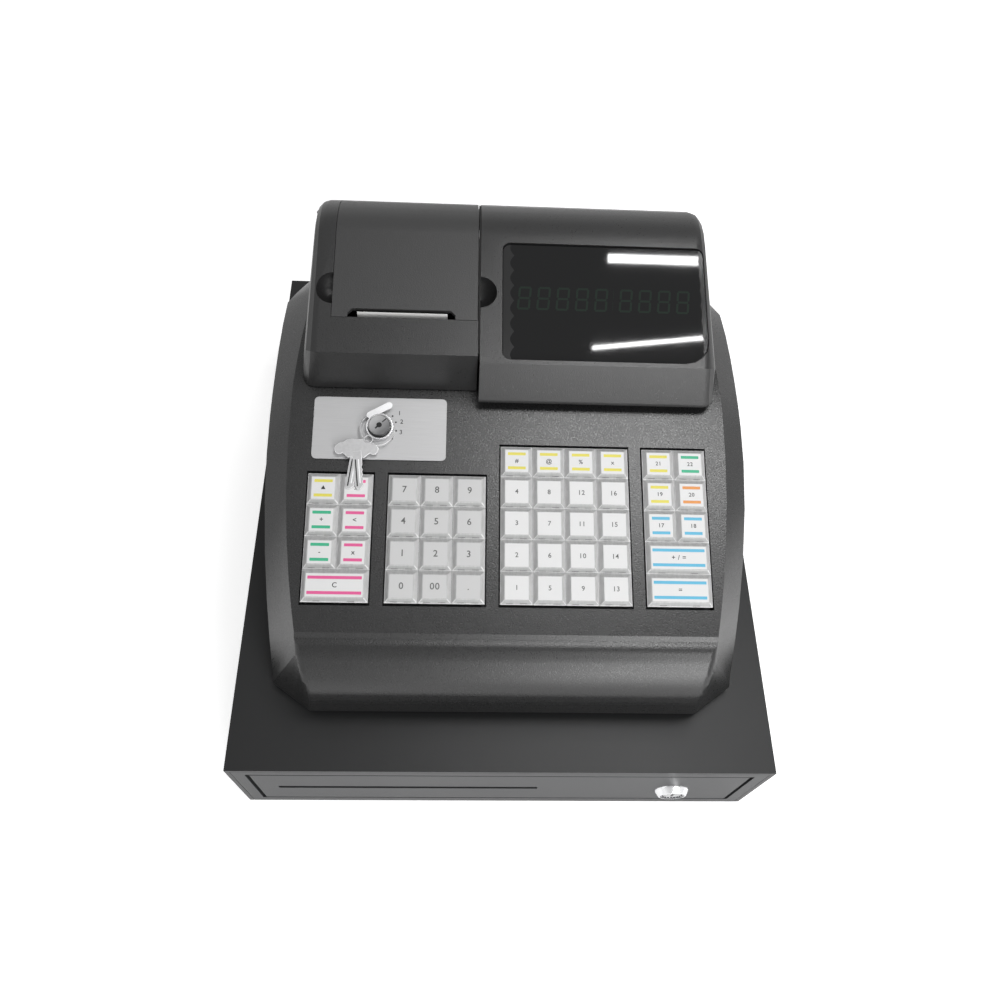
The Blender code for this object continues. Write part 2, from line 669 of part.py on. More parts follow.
def make_feet():
    pad_top = FOOT_HEIGHT - GAP
    head_low = CABINET_FLOOR + GAP
    profile = [
        (0, head_low + FOOT_HEAD),
        (FOOT_NECK_RADIUS, head_low + FOOT_HEAD),
        (FOOT_HEAD_RADIUS, head_low + FOOT_HEAD / 2),
        (FOOT_HEAD_RADIUS, head_low),
        (FOOT_NECK_RADIUS, head_low),
        (FOOT_NECK_RADIUS, pad_top),
        (FOOT_RADIUS, pad_top),
        (FOOT_RADIUS, GAP),
        (FOOT_RADIUS - GAP, 0),
        (0, 0),
    ]
    names = ("foot_front_left", "foot_front_right", "foot_rear_left", "foot_rear_right")
    for name, (x, y) in zip(names, foot_places()):
        finish(turned(name, profile, Matrix.Translation((x, y, 0)), ROUND_STEPS), "black_rubber")


# Drawer
def make_drawer_pan():
    pan = block(
        "drawer_pan", (-PAN_HALF_WIDTH, PAN_FRONT, PAN_LOW), (PAN_HALF_WIDTH, PAN_REAR, PAN_LOW + PAN_HEIGHT)
    )
    inner = PAN_HALF_WIDTH - PAN_SHEET
    narrow = inner - PAN_LEDGE
    front = PAN_FRONT + PAN_SHEET
    rear = PAN_REAR - PAN_SHEET
    top = PAN_LOW + PAN_HEIGHT + OVERRUN
    well = block("tray_well", (-inner, front + PAN_STOP, LEDGE_Z), (inner, rear, top))
    under = block("under_tray_space", (-narrow, front, PAN_LOW + PAN_SHEET), (narrow, rear, LEDGE_Z + GAP))
    pocket = block("slip_pocket", (-narrow, front, PAN_LOW + PAN_SHEET), (narrow, front + PAN_STOP + GAP, top))
    slot = slip_slot("pan_slip_slot")
    lock_hole = sleeve_hole("pan_lock_hole")
    latch_half = LATCH_WIDTH / 2 + LATCH_EAR_SHEET
    nose = LATCH_Y - LATCH_REACH
    catch = block(
        "latch_catch",
        (-latch_half, nose - LATCH_EAR_SHEET, PAN_LOW - OVERRUN),
        (latch_half, nose + LATCH_NOSE + LATCH_EAR_SHEET, PAN_LOW + PAN_SHEET + OVERRUN),
    )
    cut(pan, well, under, pocket, slot, lock_hole, catch)
    put_origin(pan, (0, PAN_FRONT, PAN_LOW))
    return finish(pan, "cabinet_paint")


def slip_slot(name):
    half = SLIP_SLOT_HEIGHT / 2
    return block(
        name,
        (SLIP_SLOT_LEFT, FRONT_Y - OVERRUN, SLIP_SLOT_Z - half),
        (SLIP_SLOT_RIGHT, PAN_FRONT + PAN_SHEET + OVERRUN, SLIP_SLOT_Z + half),
    )


def sleeve_hole(name):
    start = (DRAWER_LOCK_X, FRONT_Y - OVERRUN, DRAWER_LOCK_Z)
    end = (DRAWER_LOCK_X, PAN_FRONT + PAN_SHEET + OVERRUN, DRAWER_LOCK_Z)
    return rod(name, start, end, LOCK_SLEEVE_RADIUS + GAP)


def make_drawer_front():
    front = block(
        "drawer_front",
        (-DRAWER_HALF_WIDTH, FRONT_Y, DRAWER_LOW),
        (DRAWER_HALF_WIDTH, FRONT_Y + FRONT_SHEET, DRAWER_HIGH),
    )
    cut(front, slip_slot("front_slip_slot"), sleeve_hole("front_lock_hole"))
    put_origin(front, (0, FRONT_Y, DRAWER_LOW))
    return finish(front, "front_paint")


def tray_walls():
    # Where the walls between the columns of the tray start in X, from left to right.
    return [column * TRAY_PITCH - TRAY_HALF_WIDTH for column in range(TRAY_COLUMNS + 1)]


def make_cash_tray():
    tray = block(
        "cash_tray", (-TRAY_HALF_WIDTH, TRAY_FRONT, TRAY_LOW), (TRAY_HALF_WIDTH, TRAY_REAR, TRAY_HIGH)
    )
    floor = TRAY_LOW + TRAY_WALL
    cups = bmesh.new()
    bills = []
    for left in tray_walls()[:-1]:
        low_x = left + TRAY_WALL
        high_x = left + TRAY_PITCH
        bills.append(
            ((low_x, BILL_FRONT, floor), (high_x, TRAY_REAR - TRAY_WALL, TRAY_HIGH + OVERRUN))
        )
        for row in range(COIN_ROWS):
            front = TRAY_FRONT + TRAY_WALL + row * (COIN_CUP_LENGTH + TRAY_WALL)
            add_block(cups, (low_x, front, floor), (high_x, front + COIN_CUP_LENGTH, TRAY_HIGH + OVERRUN))
    low_edges = [
        edge
        for edge in cups.edges
        if all(vert.co.z < TRAY_HIGH for vert in edge.verts)
        and abs(edge.verts[0].co.y - edge.verts[1].co.y) < WELD
    ]
    bmesh.ops.bevel(
        cups, geom=low_edges, offset=COIN_CUP_CORNER, segments=CORNER_STEPS - 1, profile=0.5, affect="EDGES"
    )
    pin_holes = rod(
        "clip_pin_holes",
        (-TRAY_HALF_WIDTH + TRAY_WALL / 2, CLIP_Y, CLIP_Z),
        (TRAY_HALF_WIDTH - TRAY_WALL / 2, CLIP_Y, CLIP_Z),
        CLIP_PIN_RADIUS + GAP,
        SMALL_ROUND_STEPS,
    )
    cut(tray, blocks("bill_wells", bills), new_piece("coin_wells", cups), pin_holes)
    put_origin(tray, (0, TRAY_FRONT, TRAY_LOW))
    return finish(tray, "tray_plastic")


def clip_outline():
    # The arm seen from the side: hub, sloping blade and a toe that presses on the notes.
    floor = TRAY_LOW + TRAY_WALL + GAP
    toe_y = CLIP_Y - CLIP_REACH
    heel_y = toe_y + CLIP_TOE
    return [
        (CLIP_Y, CLIP_Z - CLIP_SHEET / 2),
        (heel_y, floor),
        (heel_y - CLIP_SHEET, floor),
        (toe_y, floor + CLIP_TOE / 2),
        (toe_y + CLIP_SHEET / 2, floor + CLIP_TOE / 2 + CLIP_SHEET / 2),
        (heel_y - CLIP_SHEET / 2, floor + CLIP_SHEET),
        (heel_y, floor + CLIP_SHEET),
        (CLIP_Y, CLIP_Z + CLIP_SHEET / 2),
    ]


def make_bill_clips():
    for column, left in enumerate(tray_walls()[:-1]):
        low_x = left + TRAY_WALL
        high_x = left + TRAY_PITCH
        middle = (low_x + high_x) / 2
        name = "bill_clip_" + str(column + 1)
        clip = upright_plate(name, clip_outline(), middle - CLIP_WIDTH / 2, middle + CLIP_WIDTH / 2)
        half = CLIP_WIDTH / 2 - CLIP_SHEET / 2
        hub = rod(name + "_hub", (middle - half, CLIP_Y, CLIP_Z), (middle + half, CLIP_Y, CLIP_Z), CLIP_HUB_RADIUS)
        pin = rod(
            name + "_pin",
            (low_x - CLIP_PIN_INTO_WALL, CLIP_Y, CLIP_Z),
            (high_x + CLIP_PIN_INTO_WALL, CLIP_Y, CLIP_Z),
            CLIP_PIN_RADIUS,
            SMALL_ROUND_STEPS,
        )
        fuse(clip, hub, pin)
        put_origin(clip, (middle, CLIP_Y, CLIP_Z))
        finish(clip, "inner_plastic")


def make_drawer_lock():
    x = DRAWER_LOCK_X
    z = DRAWER_LOCK_Z
    face = FRONT_Y - DRAWER_LOCK_PROUD
    back = PAN_FRONT + PAN_SHEET + GAP
    bezel = rod("drawer_lock_bezel", (x, face, z), (x, FRONT_Y - GAP, z), DRAWER_LOCK_RADIUS)
    sleeve = rod("lock_sleeve", (x, FRONT_Y - DRAWER_LOCK_PROUD / 2, z), (x, back, z), LOCK_SLEEVE_RADIUS)
    bore = rod("lock_bore", (x, face - OVERRUN, z), (x, back + OVERRUN, z), LOCK_CORE_RADIUS + GAP)
    fuse(bezel, sleeve)
    cut(bezel, bore)
    put_origin(bezel, (x, face, z))
    finish(bezel, "bright_chrome")

    cam_front = back + GAP
    cam_back = cam_front + LOCK_CAM_SHEET
    core = rod("drawer_lock_core", (x, face + LOCK_CORE_SINK, z), (x, cam_back, z), LOCK_CORE_RADIUS)
    cam = block(
        "lock_cam",
        (x - LOCK_CAM_WIDTH / 2, cam_front, z - LOCK_CAM_REACH),
        (x + LOCK_CAM_WIDTH / 2, cam_back - GAP, z),
    )
    keyhole = block(
        "core_keyhole",
        (x - KEYHOLE_WIDTH / 2, face - OVERRUN, z - KEYHOLE_LENGTH / 2),
        (x + KEYHOLE_WIDTH / 2, face + LOCK_CORE_SINK + KEYHOLE_DEPTH, z + KEYHOLE_LENGTH / 2),
    )
    fuse(core, cam)
    cut(core, keyhole)
    put_origin(core, (x, face, z))
    finish(core, "lock_metal")


def make_drawer_latch():
    half = LATCH_WIDTH / 2
    top = LATCH_Z + LATCH_SHEET / 2
    nose = LATCH_Y - LATCH_REACH
    outline = [
        (LATCH_Y + LATCH_SHEET, LATCH_Z - LATCH_SHEET / 2),
        (LATCH_Y + LATCH_SHEET, top),
        (nose + LATCH_NOSE, top),
        (nose + LATCH_NOSE, PAN_LOW - GAP),
        (nose, PAN_LOW - GAP),
        (nose - GAP, LATCH_Z - LATCH_SHEET / 2),
    ]
    latch = upright_plate("drawer_latch", outline, -half, half)
    reach = half + GAP + LATCH_EAR_SHEET
    pin = rod("latch_pin", (-reach, LATCH_Y, LATCH_Z), (reach, LATCH_Y, LATCH_Z), LATCH_PIN_RADIUS, SMALL_ROUND_STEPS)
    fuse(latch, pin)
    put_origin(latch, (0, LATCH_Y, LATCH_Z))
    return finish(latch, "bare_steel")


# Register case: how high and how wide it is at each place along Y
def fall_behind(y):
    beyond = max(y - SHOULDER_Y, 0) / SHOULDER_REAR_REACH
    return SHOULDER_REAR_DROP * beyond**SHOULDER_REAR_POWER_SHARE


def top_height(y):
    rolled = ROLL_CENTRE_Y - FRONT_ROLL * sin(SLOPE)
    if y < rolled:
        return ROLL_CENTRE_Z + sqrt(max(FRONT_ROLL**2 - (y - ROLL_CENTRE_Y) ** 2, 0))
    return min(PANEL_HEIGHT + PANEL_RISE_SHARE * y, PLATEAU_HEIGHT) - fall_behind(y)


def shoulder_height(y):
    before = max(SHOULDER_Y - y, 0) / SHOULDER_FRONT_REACH
    height = SHOULDER_HEIGHT - SHOULDER_FRONT_DROP * before**SHOULDER_FRONT_POWER_SHARE
    return max(height - fall_behind(y), CASE_LOW + LEAST_SIDE)


def top_half_width(y):
    if y < WIDEST_Y:
        return TOP_HALF_WIDTH - TOP_FRONT_NARROWING * ((y - WIDEST_Y) / TOP_FRONT_REACH) ** 2
    return TOP_HALF_WIDTH - TOP_REAR_NARROWING * ((y - WIDEST_Y) / TOP_REAR_REACH) ** 2


def side_half_width(y):
    half = SIDE_HALF_WIDTH - SIDE_FRONT_NARROWING * (min(y, 0) / SIDE_FRONT_REACH) ** 2
    into_front_corner = max(CASE_FRONT + FRONT_CORNER_LENGTH - y, 0) / FRONT_CORNER_LENGTH
    into_rear_corner = max(y - CASE_REAR + REAR_CORNER_LENGTH, 0) / REAR_CORNER_LENGTH
    return half - into_front_corner * FRONT_CORNER_WIDTH - into_rear_corner * REAR_CORNER_WIDTH


def case_stations():
    return [CASE_FRONT + share * CASE_LENGTH for share in CASE_STATION_SHARES]


def case_skin():
    # The unlike sections of the case from front to rear, lofted and left open below.
    work = bmesh.new()
    rings = []
    for y in case_stations():
        side = side_half_width(y)
        top = top_half_width(y)
        half = [(side, CASE_LOW), (side, shoulder_height(y)), (top, top_height(y))]
        section = [(-x, z) for x, z in half] + list(reversed(half))
        rings.append([work.verts.new((x, y, z)) for x, z in section])
    for near, far in zip(rings, rings[1:]):
        for spot in range(len(near) - 1):
            work.faces.new((near[spot], near[spot + 1], far[spot + 1], far[spot]))
    work.faces.new(rings[0])
    work.faces.new(rings[-1])
    return new_piece("case_top", work)


def panel_boss_places():
    number_right = NUMBER_BLOCK_X + well_half_width(3)
    number_left = NUMBER_BLOCK_X - well_half_width(3)
    left_right = LEFT_BLOCK_X + well_half_width(2)
    department_left = DEPARTMENT_BLOCK_X - well_half_width(4)
    department_right = DEPARTMENT_BLOCK_X + well_half_width(4)
    right_left = RIGHT_BLOCK_X - well_half_width(2)
    between = [
        (left_right + number_left) / 2,
        (number_right + department_left) / 2,
        (department_right + right_left) / 2,
    ]
    return [(x, s) for x in between for s in (CASE_BOSS_LOW_S, CASE_BOSS_HIGH_S)]


def make_case_top():
    case = case_skin()
    wall = case.modifiers.new("wall", "SOLIDIFY")
    wall.thickness = CASE_WALL
    wall.offset = -1
    wall.use_even_offset = True
    bosses = rods(
        "guide_plate_bosses",
        [((x, s, -CASE_WALL / 2), (x, s, GAP - GUIDE_PLATE_DEPTH), CASE_BOSS_RADIUS) for x, s in panel_boss_places()],
        SMALL_ROUND_STEPS,
        PANEL,
    )
    fuse(case, bosses)
    lock_hole = rod(
        "mode_lock_hole",
        (NAME_PLATE_X, NAME_PLATE_S, -CASE_WALL - OVERRUN),
        (NAME_PLATE_X, NAME_PLATE_S, OVERRUN),
        MODE_LOCK_RADIUS + GAP,
        ROUND_STEPS,
        PANEL,
    )
    low = (CASE_LOW + PLATEAU_HEIGHT) / 2
    printer_bay = block(
        "printer_bay",
        (-HOOD_TOP_HALF_WIDTH + BAY_SIDE, BAY_FRONT, low),
        (PRINTER_RIGHT - BAY_SIDE, BAY_REAR, PLATEAU_HEIGHT + OVERRUN),
    )
    display_bay = block(
        "display_bay",
        (DISPLAY_LEFT + BAY_SIDE, BAY_FRONT, low),
        (HOOD_TOP_HALF_WIDTH - BAY_SIDE, BAY_REAR, PLATEAU_HEIGHT + OVERRUN),
    )
    cut(case, key_wells(), lock_hole, printer_bay, display_bay, inlet_hole())
    return finish(case, "case_plastic")


def inlet_box(clearance):
    low = board_top() + GAP
    return (
        (INLET_X - INLET_WIDTH / 2 - clearance, CASE_REAR - INLET_DEPTH, low - clearance),
        (INLET_X + INLET_WIDTH / 2 + clearance, CASE_REAR, low + INLET_HEIGHT + clearance),
    )


def inlet_hole():
    low, high = inlet_box(GAP)
    return block("inlet_hole", low, (high[0], high[1] + OVERRUN, high[2]))


def make_case_bottom():
    sides = []
    for y in case_stations():
        kept = min(max(y, CASE_FRONT + CASE_BASE_INSET), CASE_REAR - CASE_BASE_INSET)
        sides.append((side_half_width(y) - CASE_BASE_INSET, kept))
    outline = sides + [(-x, y) for x, y in reversed(sides)]
    base = level_plate("case_bottom", outline, CASE_BASE_LOW, CASE_LOW - GAP)
    low = CASE_BASE_LOW + CASE_BASE_HEIGHT / 2
    high = board_low() - GAP
    posts = rods(
        "board_posts",
        [((x, y, low), (x, y, high), BOARD_BOSS_RADIUS) for x, y in board_post_places()],
        SMALL_ROUND_STEPS,
    )
    fuse(base, posts)
    return finish(base, "case_plastic")


# Main board
def board_low():
    return CASE_LOW - GAP + BOARD_LIFT


def board_top():
    return board_low() + BOARD_SHEET


def board_rear():
    return CASE_REAR - INLET_DEPTH / 3


def board_post_places():
    x = BOARD_HALF_WIDTH - BOARD_BOSS_INSET
    front = BOARD_FRONT + BOARD_BOSS_INSET
    rear = board_rear() - BOARD_BOSS_INSET
    return [(side * x, y) for side in (-1, 1) for y in (front, rear)]


def make_main_board():
    # The board with its chips and the power inlet soldered on it.
    top = board_top()
    board = block(
        "main_board", (-BOARD_HALF_WIDTH, BOARD_FRONT, board_low()), (BOARD_HALF_WIDTH, board_rear(), top)
    )
    sunk = BOARD_SHEET / 2
    spans = []
    for side in (-1, 1):
        x = side * BOARD_PART_WIDTH
        y = (BOARD_FRONT + board_rear()) / 2
        spans.append(
            (
                (x - BOARD_PART_WIDTH / 2, y - BOARD_PART_DEPTH / 2, top - sunk),
                (x + BOARD_PART_WIDTH / 2, y + BOARD_PART_DEPTH / 2, top + BOARD_PART_HEIGHT),
            )
        )
    low, high = inlet_box(0)
    body = block("inlet_body", low, high)
    solder_foot = block(
        "inlet_foot",
        (low[0] + INLET_WALL, low[1] + INLET_WALL, top - sunk),
        (high[0] - INLET_WALL, board_rear() - INLET_WALL, low[2] + INLET_WALL / 2),
    )
    socket = block(
        "inlet_socket",
        (low[0] + INLET_WALL, high[1] - INLET_SOCKET_DEPTH, low[2] + INLET_WALL),
        (high[0] - INLET_WALL, high[1] + OVERRUN, high[2] - INLET_WALL),
    )
    middle = (low[2] + high[2]) / 2
    start = high[1] - INLET_SOCKET_DEPTH - INLET_WALL
    end = high[1] - INLET_SOCKET_DEPTH + INLET_PIN_LENGTH
    pins = [
        ((INLET_X + side * INLET_PIN_SPACING / 2, start, middle), (INLET_X + side * INLET_PIN_SPACING / 2, end, middle))
        for side in (-1, 1)
    ]
    cut(body, socket)
    fuse(body, rods("inlet_pins", [(low, high, INLET_PIN_RADIUS) for low, high in pins], SMALL_ROUND_STEPS))
    fuse(board, blocks("board_parts", spans), body, solder_foot)
    return finish(board, "board_green")


# Keyboard
def well_half_width(columns):
    return columns * KEY_PITCH / 2 + WELL_MARGIN_X


def key_wells():
    spans = []
    for x, columns, rows in (
        (LEFT_BLOCK_X, 2, 4),
        (NUMBER_BLOCK_X, 3, 4),
        (DEPARTMENT_BLOCK_X, 4, 5),
        (RIGHT_BLOCK_X, 2, 5),
    ):
        half = well_half_width(columns)
        reach = KEY_PITCH / 2 + WELL_MARGIN_S
        low = (x - half, -reach, -CASE_WALL - OVERRUN)
        high = (x + half, (rows - 1) * KEY_PITCH + reach, OVERRUN)
        spans.append((low, high))
    return blocks("key_wells", spans, PANEL)


def add_key(work, x, columns=1):
    # One cap with its sloping skirt and the stem that slides in the guide plate.
    width = KEY_CAP + (columns - 1) * KEY_PITCH
    half = width / 2
    side = KEY_CAP / 2
    before = set(work.faces)
    add_block(work, (x - half, -side, -KEY_SKIRT), (x + half, side, KEY_SHOULDER))
    new_faces = [face for face in work.faces if face not in before]
    top = max(new_faces, key=lambda face: face.calc_center_median().z)
    bottom = min(new_faces, key=lambda face: face.calc_center_median().z)
    bmesh.ops.inset_individual(work, faces=[top], thickness=(KEY_CAP - KEY_LABEL) / 2, use_even_offset=True)
    bmesh.ops.translate(work, verts=top.verts, vec=(0, 0, KEY_TOP - KEY_SHOULDER))
    bmesh.ops.inset_individual(work, faces=[bottom], thickness=(KEY_CAP - KEY_STEM) / 2, use_even_offset=True)
    stem = bmesh.ops.extrude_discrete_faces(work, faces=[bottom])["faces"][0]
    bmesh.ops.translate(work, verts=stem.verts, vec=(0, 0, -KEY_STEM_LENGTH))


def make_key(name, x, s, kind, columns=1):
    work = bmesh.new()
    add_key(work, 0, columns)
    key = new_piece(name, work, PANEL @ Matrix.Translation((x, s, 0)))
    key_stems.append((x, s, columns))
    return finish(key, kind)


def make_key_row(name, block_x, columns, s, kind):
    # Keys of one row that share a carrier bar hidden under the panel.
    place = PANEL @ Matrix.Translation((block_x, s, 0))
    centres = [(column - (columns - 1) / 2) * KEY_PITCH for column in range(columns)]
    half = KEY_CARRIER_WIDTH / 2
    row = block(
        name,
        (centres[0], -half, -KEY_SKIRT - KEY_CARRIER_HEIGHT),
        (centres[-1], half, -KEY_SKIRT + KEY_CARRIER_HEIGHT / 2),
        place,
    )
    caps = bmesh.new()
    for x in centres:
        add_key(caps, x)
        key_stems.append((block_x + x, s, 1))
    fuse(row, new_piece(name + "_caps", caps, place))
    return finish(row, kind)


def make_keys():
    half = KEY_PITCH / 2
    number_names = (
        ("key_0", "key_00", "key_point"),
        ("key_1", "key_2", "key_3"),
        ("key_4", "key_5", "key_6"),
        ("key_7", "key_8", "key_9"),
    )
    for row, names in enumerate(number_names):
        for column, name in enumerate(names):
            x = NUMBER_BLOCK_X + (column - 1) * KEY_PITCH
            make_key(name, x, row * KEY_PITCH, "key_grey")
    left_names = (
        ("key_paid_out", "key_void"),
        ("key_received", "key_return"),
        ("key_paper_feed", "key_second"),
    )
    make_key("key_clear", LEFT_BLOCK_X, 0, "key_clear", 2)
    for row, names in enumerate(left_names):
        for side, name in zip((-1, 1), names):
            make_key(name, LEFT_BLOCK_X + side * half, (row + 1) * KEY_PITCH, "key_clear")
    for row in range(5):
        name = "department_keys_row_" + str(row + 1)
        make_key_row(name, DEPARTMENT_BLOCK_X, 4, row * KEY_PITCH, "key_clear")
    make_key("key_cash", RIGHT_BLOCK_X, 0, "key_clear", 2)
    make_key("key_subtotal", RIGHT_BLOCK_X, KEY_PITCH, "key_clear", 2)
    for row in range(3):
        name = "function_keys_row_" + str(row + 1)
        make_key_row(name, RIGHT_BLOCK_X, 2, (row + 2) * KEY_PITCH, "key_clear")


def make_guide_plate():
    reach = RIGHT_BLOCK_X + well_half_width(2) + GUIDE_PLATE_MARGIN
    front = -KEY_PITCH / 2 - GUIDE_PLATE_MARGIN
    rear = 4 * KEY_PITCH + KEY_PITCH / 2
    plate = block(
        "key_guide_plate",
        (-reach, front, -GUIDE_PLATE_DEPTH - GUIDE_PLATE_SHEET),
        (reach, rear, -GUIDE_PLATE_DEPTH),
        PANEL,
    )
    spans = []
    for x, s, columns in key_stems:
        half_x = (KEY_STEM + (columns - 1) * KEY_PITCH) / 2 + GAP
        half_s = KEY_STEM / 2 + GAP
        low = (x - half_x, s - half_s, -GUIDE_PLATE_DEPTH - GUIDE_PLATE_SHEET - OVERRUN)
        spans.append((low, (x + half_x, s + half_s, OVERRUN - GUIDE_PLATE_DEPTH)))
    cut(plate, blocks("stem_holes", spans, PANEL))
    return finish(plate, "inner_plastic")


# Name plate, mode lock and hanging keys
def make_name_plate():
    half_width = NAME_PLATE_WIDTH / 2
    half_length = NAME_PLATE_LENGTH / 2
    outline = rounded(
        (NAME_PLATE_X - half_width, NAME_PLATE_S - half_length),
        (NAME_PLATE_X + half_width, NAME_PLATE_S + half_length),
        (NAME_PLATE_CORNER,) * 4,
    )
    plate = level_plate("name_plate", outline, GAP, GAP + NAME_PLATE_SHEET, PANEL)
    low = GAP + NAME_PLATE_SHEET / 2
    high = GAP + COLLAR_HEIGHT
    centre = (NAME_PLATE_X, NAME_PLATE_S)
    collar = rod("lock_collar", (*centre, low), (*centre, high), COLLAR_RADIUS, ROUND_STEPS, PANEL)
    bore = rod(
        "collar_bore",
        (*centre, -OVERRUN),
        (*centre, high + OVERRUN),
        MODE_LOCK_RADIUS + GAP,
        ROUND_STEPS,
        PANEL,
    )
    fuse(plate, collar)
    cut(plate, bore)
    return finish(plate, "brushed_plate")


def make_mode_lock():
    place = PANEL @ Matrix.Translation((NAME_PLATE_X, NAME_PLATE_S, 0))
    lock = rod("mode_lock", (0, 0, -MODE_LOCK_DEPTH), (0, 0, MODE_LOCK_PROUD), MODE_LOCK_RADIUS, ROUND_STEPS, place)
    half_width = KEYHOLE_WIDTH / 2
    half_length = KEYHOLE_LENGTH / 2
    keyhole = block(
        "mode_keyhole",
        (-half_width, -half_length, MODE_LOCK_PROUD - KEYHOLE_DEPTH),
        (half_width, half_length, MODE_LOCK_PROUD + OVERRUN),
        place @ Matrix.Rotation(-LOCK_REST_TURN, 4, "Z"),
    )
    cut(lock, keyhole)
    return finish(lock, "lock_metal")


def strip(name, low, high, place):
    # A flat bar with rounded corners in the panel's own frame.
    corner = (high[0] - low[0]) / 3
    outline = rounded(low[:2], high[:2], (corner,) * 4)
    return level_plate(name, outline, low[2], high[2], place)


def make_mode_keys():
    place = PANEL @ Matrix.Translation((NAME_PLATE_X, NAME_PLATE_S, 0))
    low = KEY_TOP + GAP
    high = low + KEY_SHEET
    hang = KEY_RING_RADIUS - KEY_RING_WIRE - COLLAR_RADIUS - GAP
    hang_place = place @ Matrix.Rotation(-KEY_HANG_TURN, 4, "Z")
    bpy.ops.mesh.primitive_torus_add(
        major_radius=KEY_RING_RADIUS,
        minor_radius=KEY_RING_WIRE,
        major_segments=ROUND_STEPS,
        minor_segments=SMALL_ROUND_STEPS // 2,
    )
    keys = bpy.context.object
    keys.name = "mode_keys"
    for group in list(keys.users_collection):
        group.objects.unlink(keys)
    part_pieces.objects.link(keys)
    keys.data.transform(Matrix.Rotation(-KEY_HANG_TURN, 4, "Z") @ Matrix.Translation((0, -hang, (low + high) / 2)))
    keys.matrix_world = place
    bow_reach = hang + KEY_RING_RADIUS + KEY_BOW_OFFSET
    bow_place = hang_place @ Matrix.Translation((0, -bow_reach, 0)) @ Matrix.Rotation(KEY_HANG_TURN, 4, "Z")
    half_width = KEY_BOW_WIDTH / 2
    half_length = KEY_BOW_LENGTH / 2
    bow_outline = rounded((-half_width, -half_length), (half_width, half_length), (half_length / 2,) * 4)
    fuse(keys, level_plate("key_bow", bow_outline, low, high, bow_place))
    half_blade = KEY_BLADE_WIDTH / 2
    for turn, name in ((-KEY_FAN, "key_blade_left"), (KEY_FAN, "key_blade_right")):
        inset = KEY_BLADE_INSET if turn > 0 else 2 * KEY_BLADE_INSET
        blade = strip(
            name,
            (-half_blade, -half_length - KEY_BLADE_LENGTH, low + inset),
            (half_blade, 0, high - inset),
            bow_place @ Matrix.Rotation(turn, 4, "Z"),
        )
        fuse(keys, blade)
    tag_place = place @ Matrix.Rotation(-TAG_TURN, 4, "Z")
    tag_side = COLLAR_RADIUS + GAP
    tag = strip(
        "key_tag",
        (-tag_side - TAG_WIDTH, -TAG_LENGTH / 2, low + 3 * KEY_BLADE_INSET),
        (-tag_side, TAG_LENGTH / 2, high - 3 * KEY_BLADE_INSET),
        tag_place,
    )
    fuse(keys, tag)
    return finish(keys, "bright_chrome")


# Housings behind the keyboard
def case_surface(y):
    stations = case_stations()
    for near, far in zip(stations, stations[1:]):
        if near <= y <= far:
            share = (y - near) / (far - near)
            return top_height(near) * (1 - share) + top_height(far) * share
    return top_height(y)


def roof_height(y, depth=0):
    return HOOD_FRONT_HEIGHT + PANEL_RISE_SHARE * (y - HOOD_FRONT) - depth / cos(SLOPE)


def hood_roof(front, depth=0):
    # The roof line in Y and Z from its front edge over the roll to the rear.
    points = [(front, roof_height(front, depth))]
    for share in HOOD_ROLL_SHARES:
        turn = (pi / 2 + SLOPE) * (1 - share)
        radius = HOOD_ROLL - depth
        points.append((HOOD_CENTRE_Y + radius * cos(turn), HOOD_CENTRE_Z + radius * sin(turn)))
    return points


def hood_foot(front):
    # Where a housing stands on the case, from the rear to the rounding of its front corner.
    places = [y for y in case_stations() if y > front + HOOD_CORNER]
    return [(y, case_surface(y) + GAP) for y in reversed(places)]


def hood_side(z):
    share = min(max((z - PLATEAU_HEIGHT) / (HOOD_FRONT_HEIGHT - PLATEAU_HEIGHT), 0), 1)
    return HOOD_BASE_HALF_WIDTH + (HOOD_TOP_HALF_WIDTH - HOOD_BASE_HALF_WIDTH) * share


def hood_body(name, outline, inner_edge, side):
    # A solid of the outline whose outer side leans in and is rounded at the roof.
    ends = sorted((inner_edge, side * HOOD_BASE_HALF_WIDTH))
    work = upright_work(outline, *ends)
    outer = [vert for vert in work.verts if abs(vert.co.x - side * HOOD_BASE_HALF_WIDTH) < WELD]
    for vert in outer:
        vert.co.x = side * hood_side(vert.co.z)
    on_side = set(outer)
    foot = {vert for vert in outer if vert.co.z < PLATEAU_HEIGHT + 2 * GAP}
    edges = [
        edge
        for edge in work.edges
        if set(edge.verts) <= on_side and not set(edge.verts) <= foot
    ]
    bmesh.ops.bevel(
        work, geom=edges, offset=HOOD_CORNER, segments=CORNER_STEPS - 1, profile=0.5, affect="EDGES"
    )
    return new_piece(name, work)


def hood_cavity(name, front, left, right, ball_centre):
    # The inside of a housing, which leaves a cup of wall round the finger scoop.
    low = case_surface(CASE_REAR) - OVERRUN
    roof = hood_roof(front, HOOD_DECK)
    outline = [(front, low)] + roof + [(roof[-1][0], low)]
    cavity = upright_plate(name, outline, left, right)
    cup = ball(name + "_cup", ball_centre, SCOOP_RADIUS + SCOOP_WALL)
    return cut(cavity, cup)


def scoop_centre(x):
    return (x, SCOOP_Y, roof_height(SCOOP_Y) + SCOOP_RISE)


def cover_pin_hole(name):
    start = (COVER_LEFT - GAP - COVER_PIN_LENGTH - GAP, COVER_HINGE_Y, COVER_HINGE_Z)
    end = (DISPLAY_LEFT + COVER_PIN_LENGTH + GAP, COVER_HINGE_Y, COVER_HINGE_Z)
    return rod(name, start, end, COVER_PIN_RADIUS + GAP, SMALL_ROUND_STEPS)


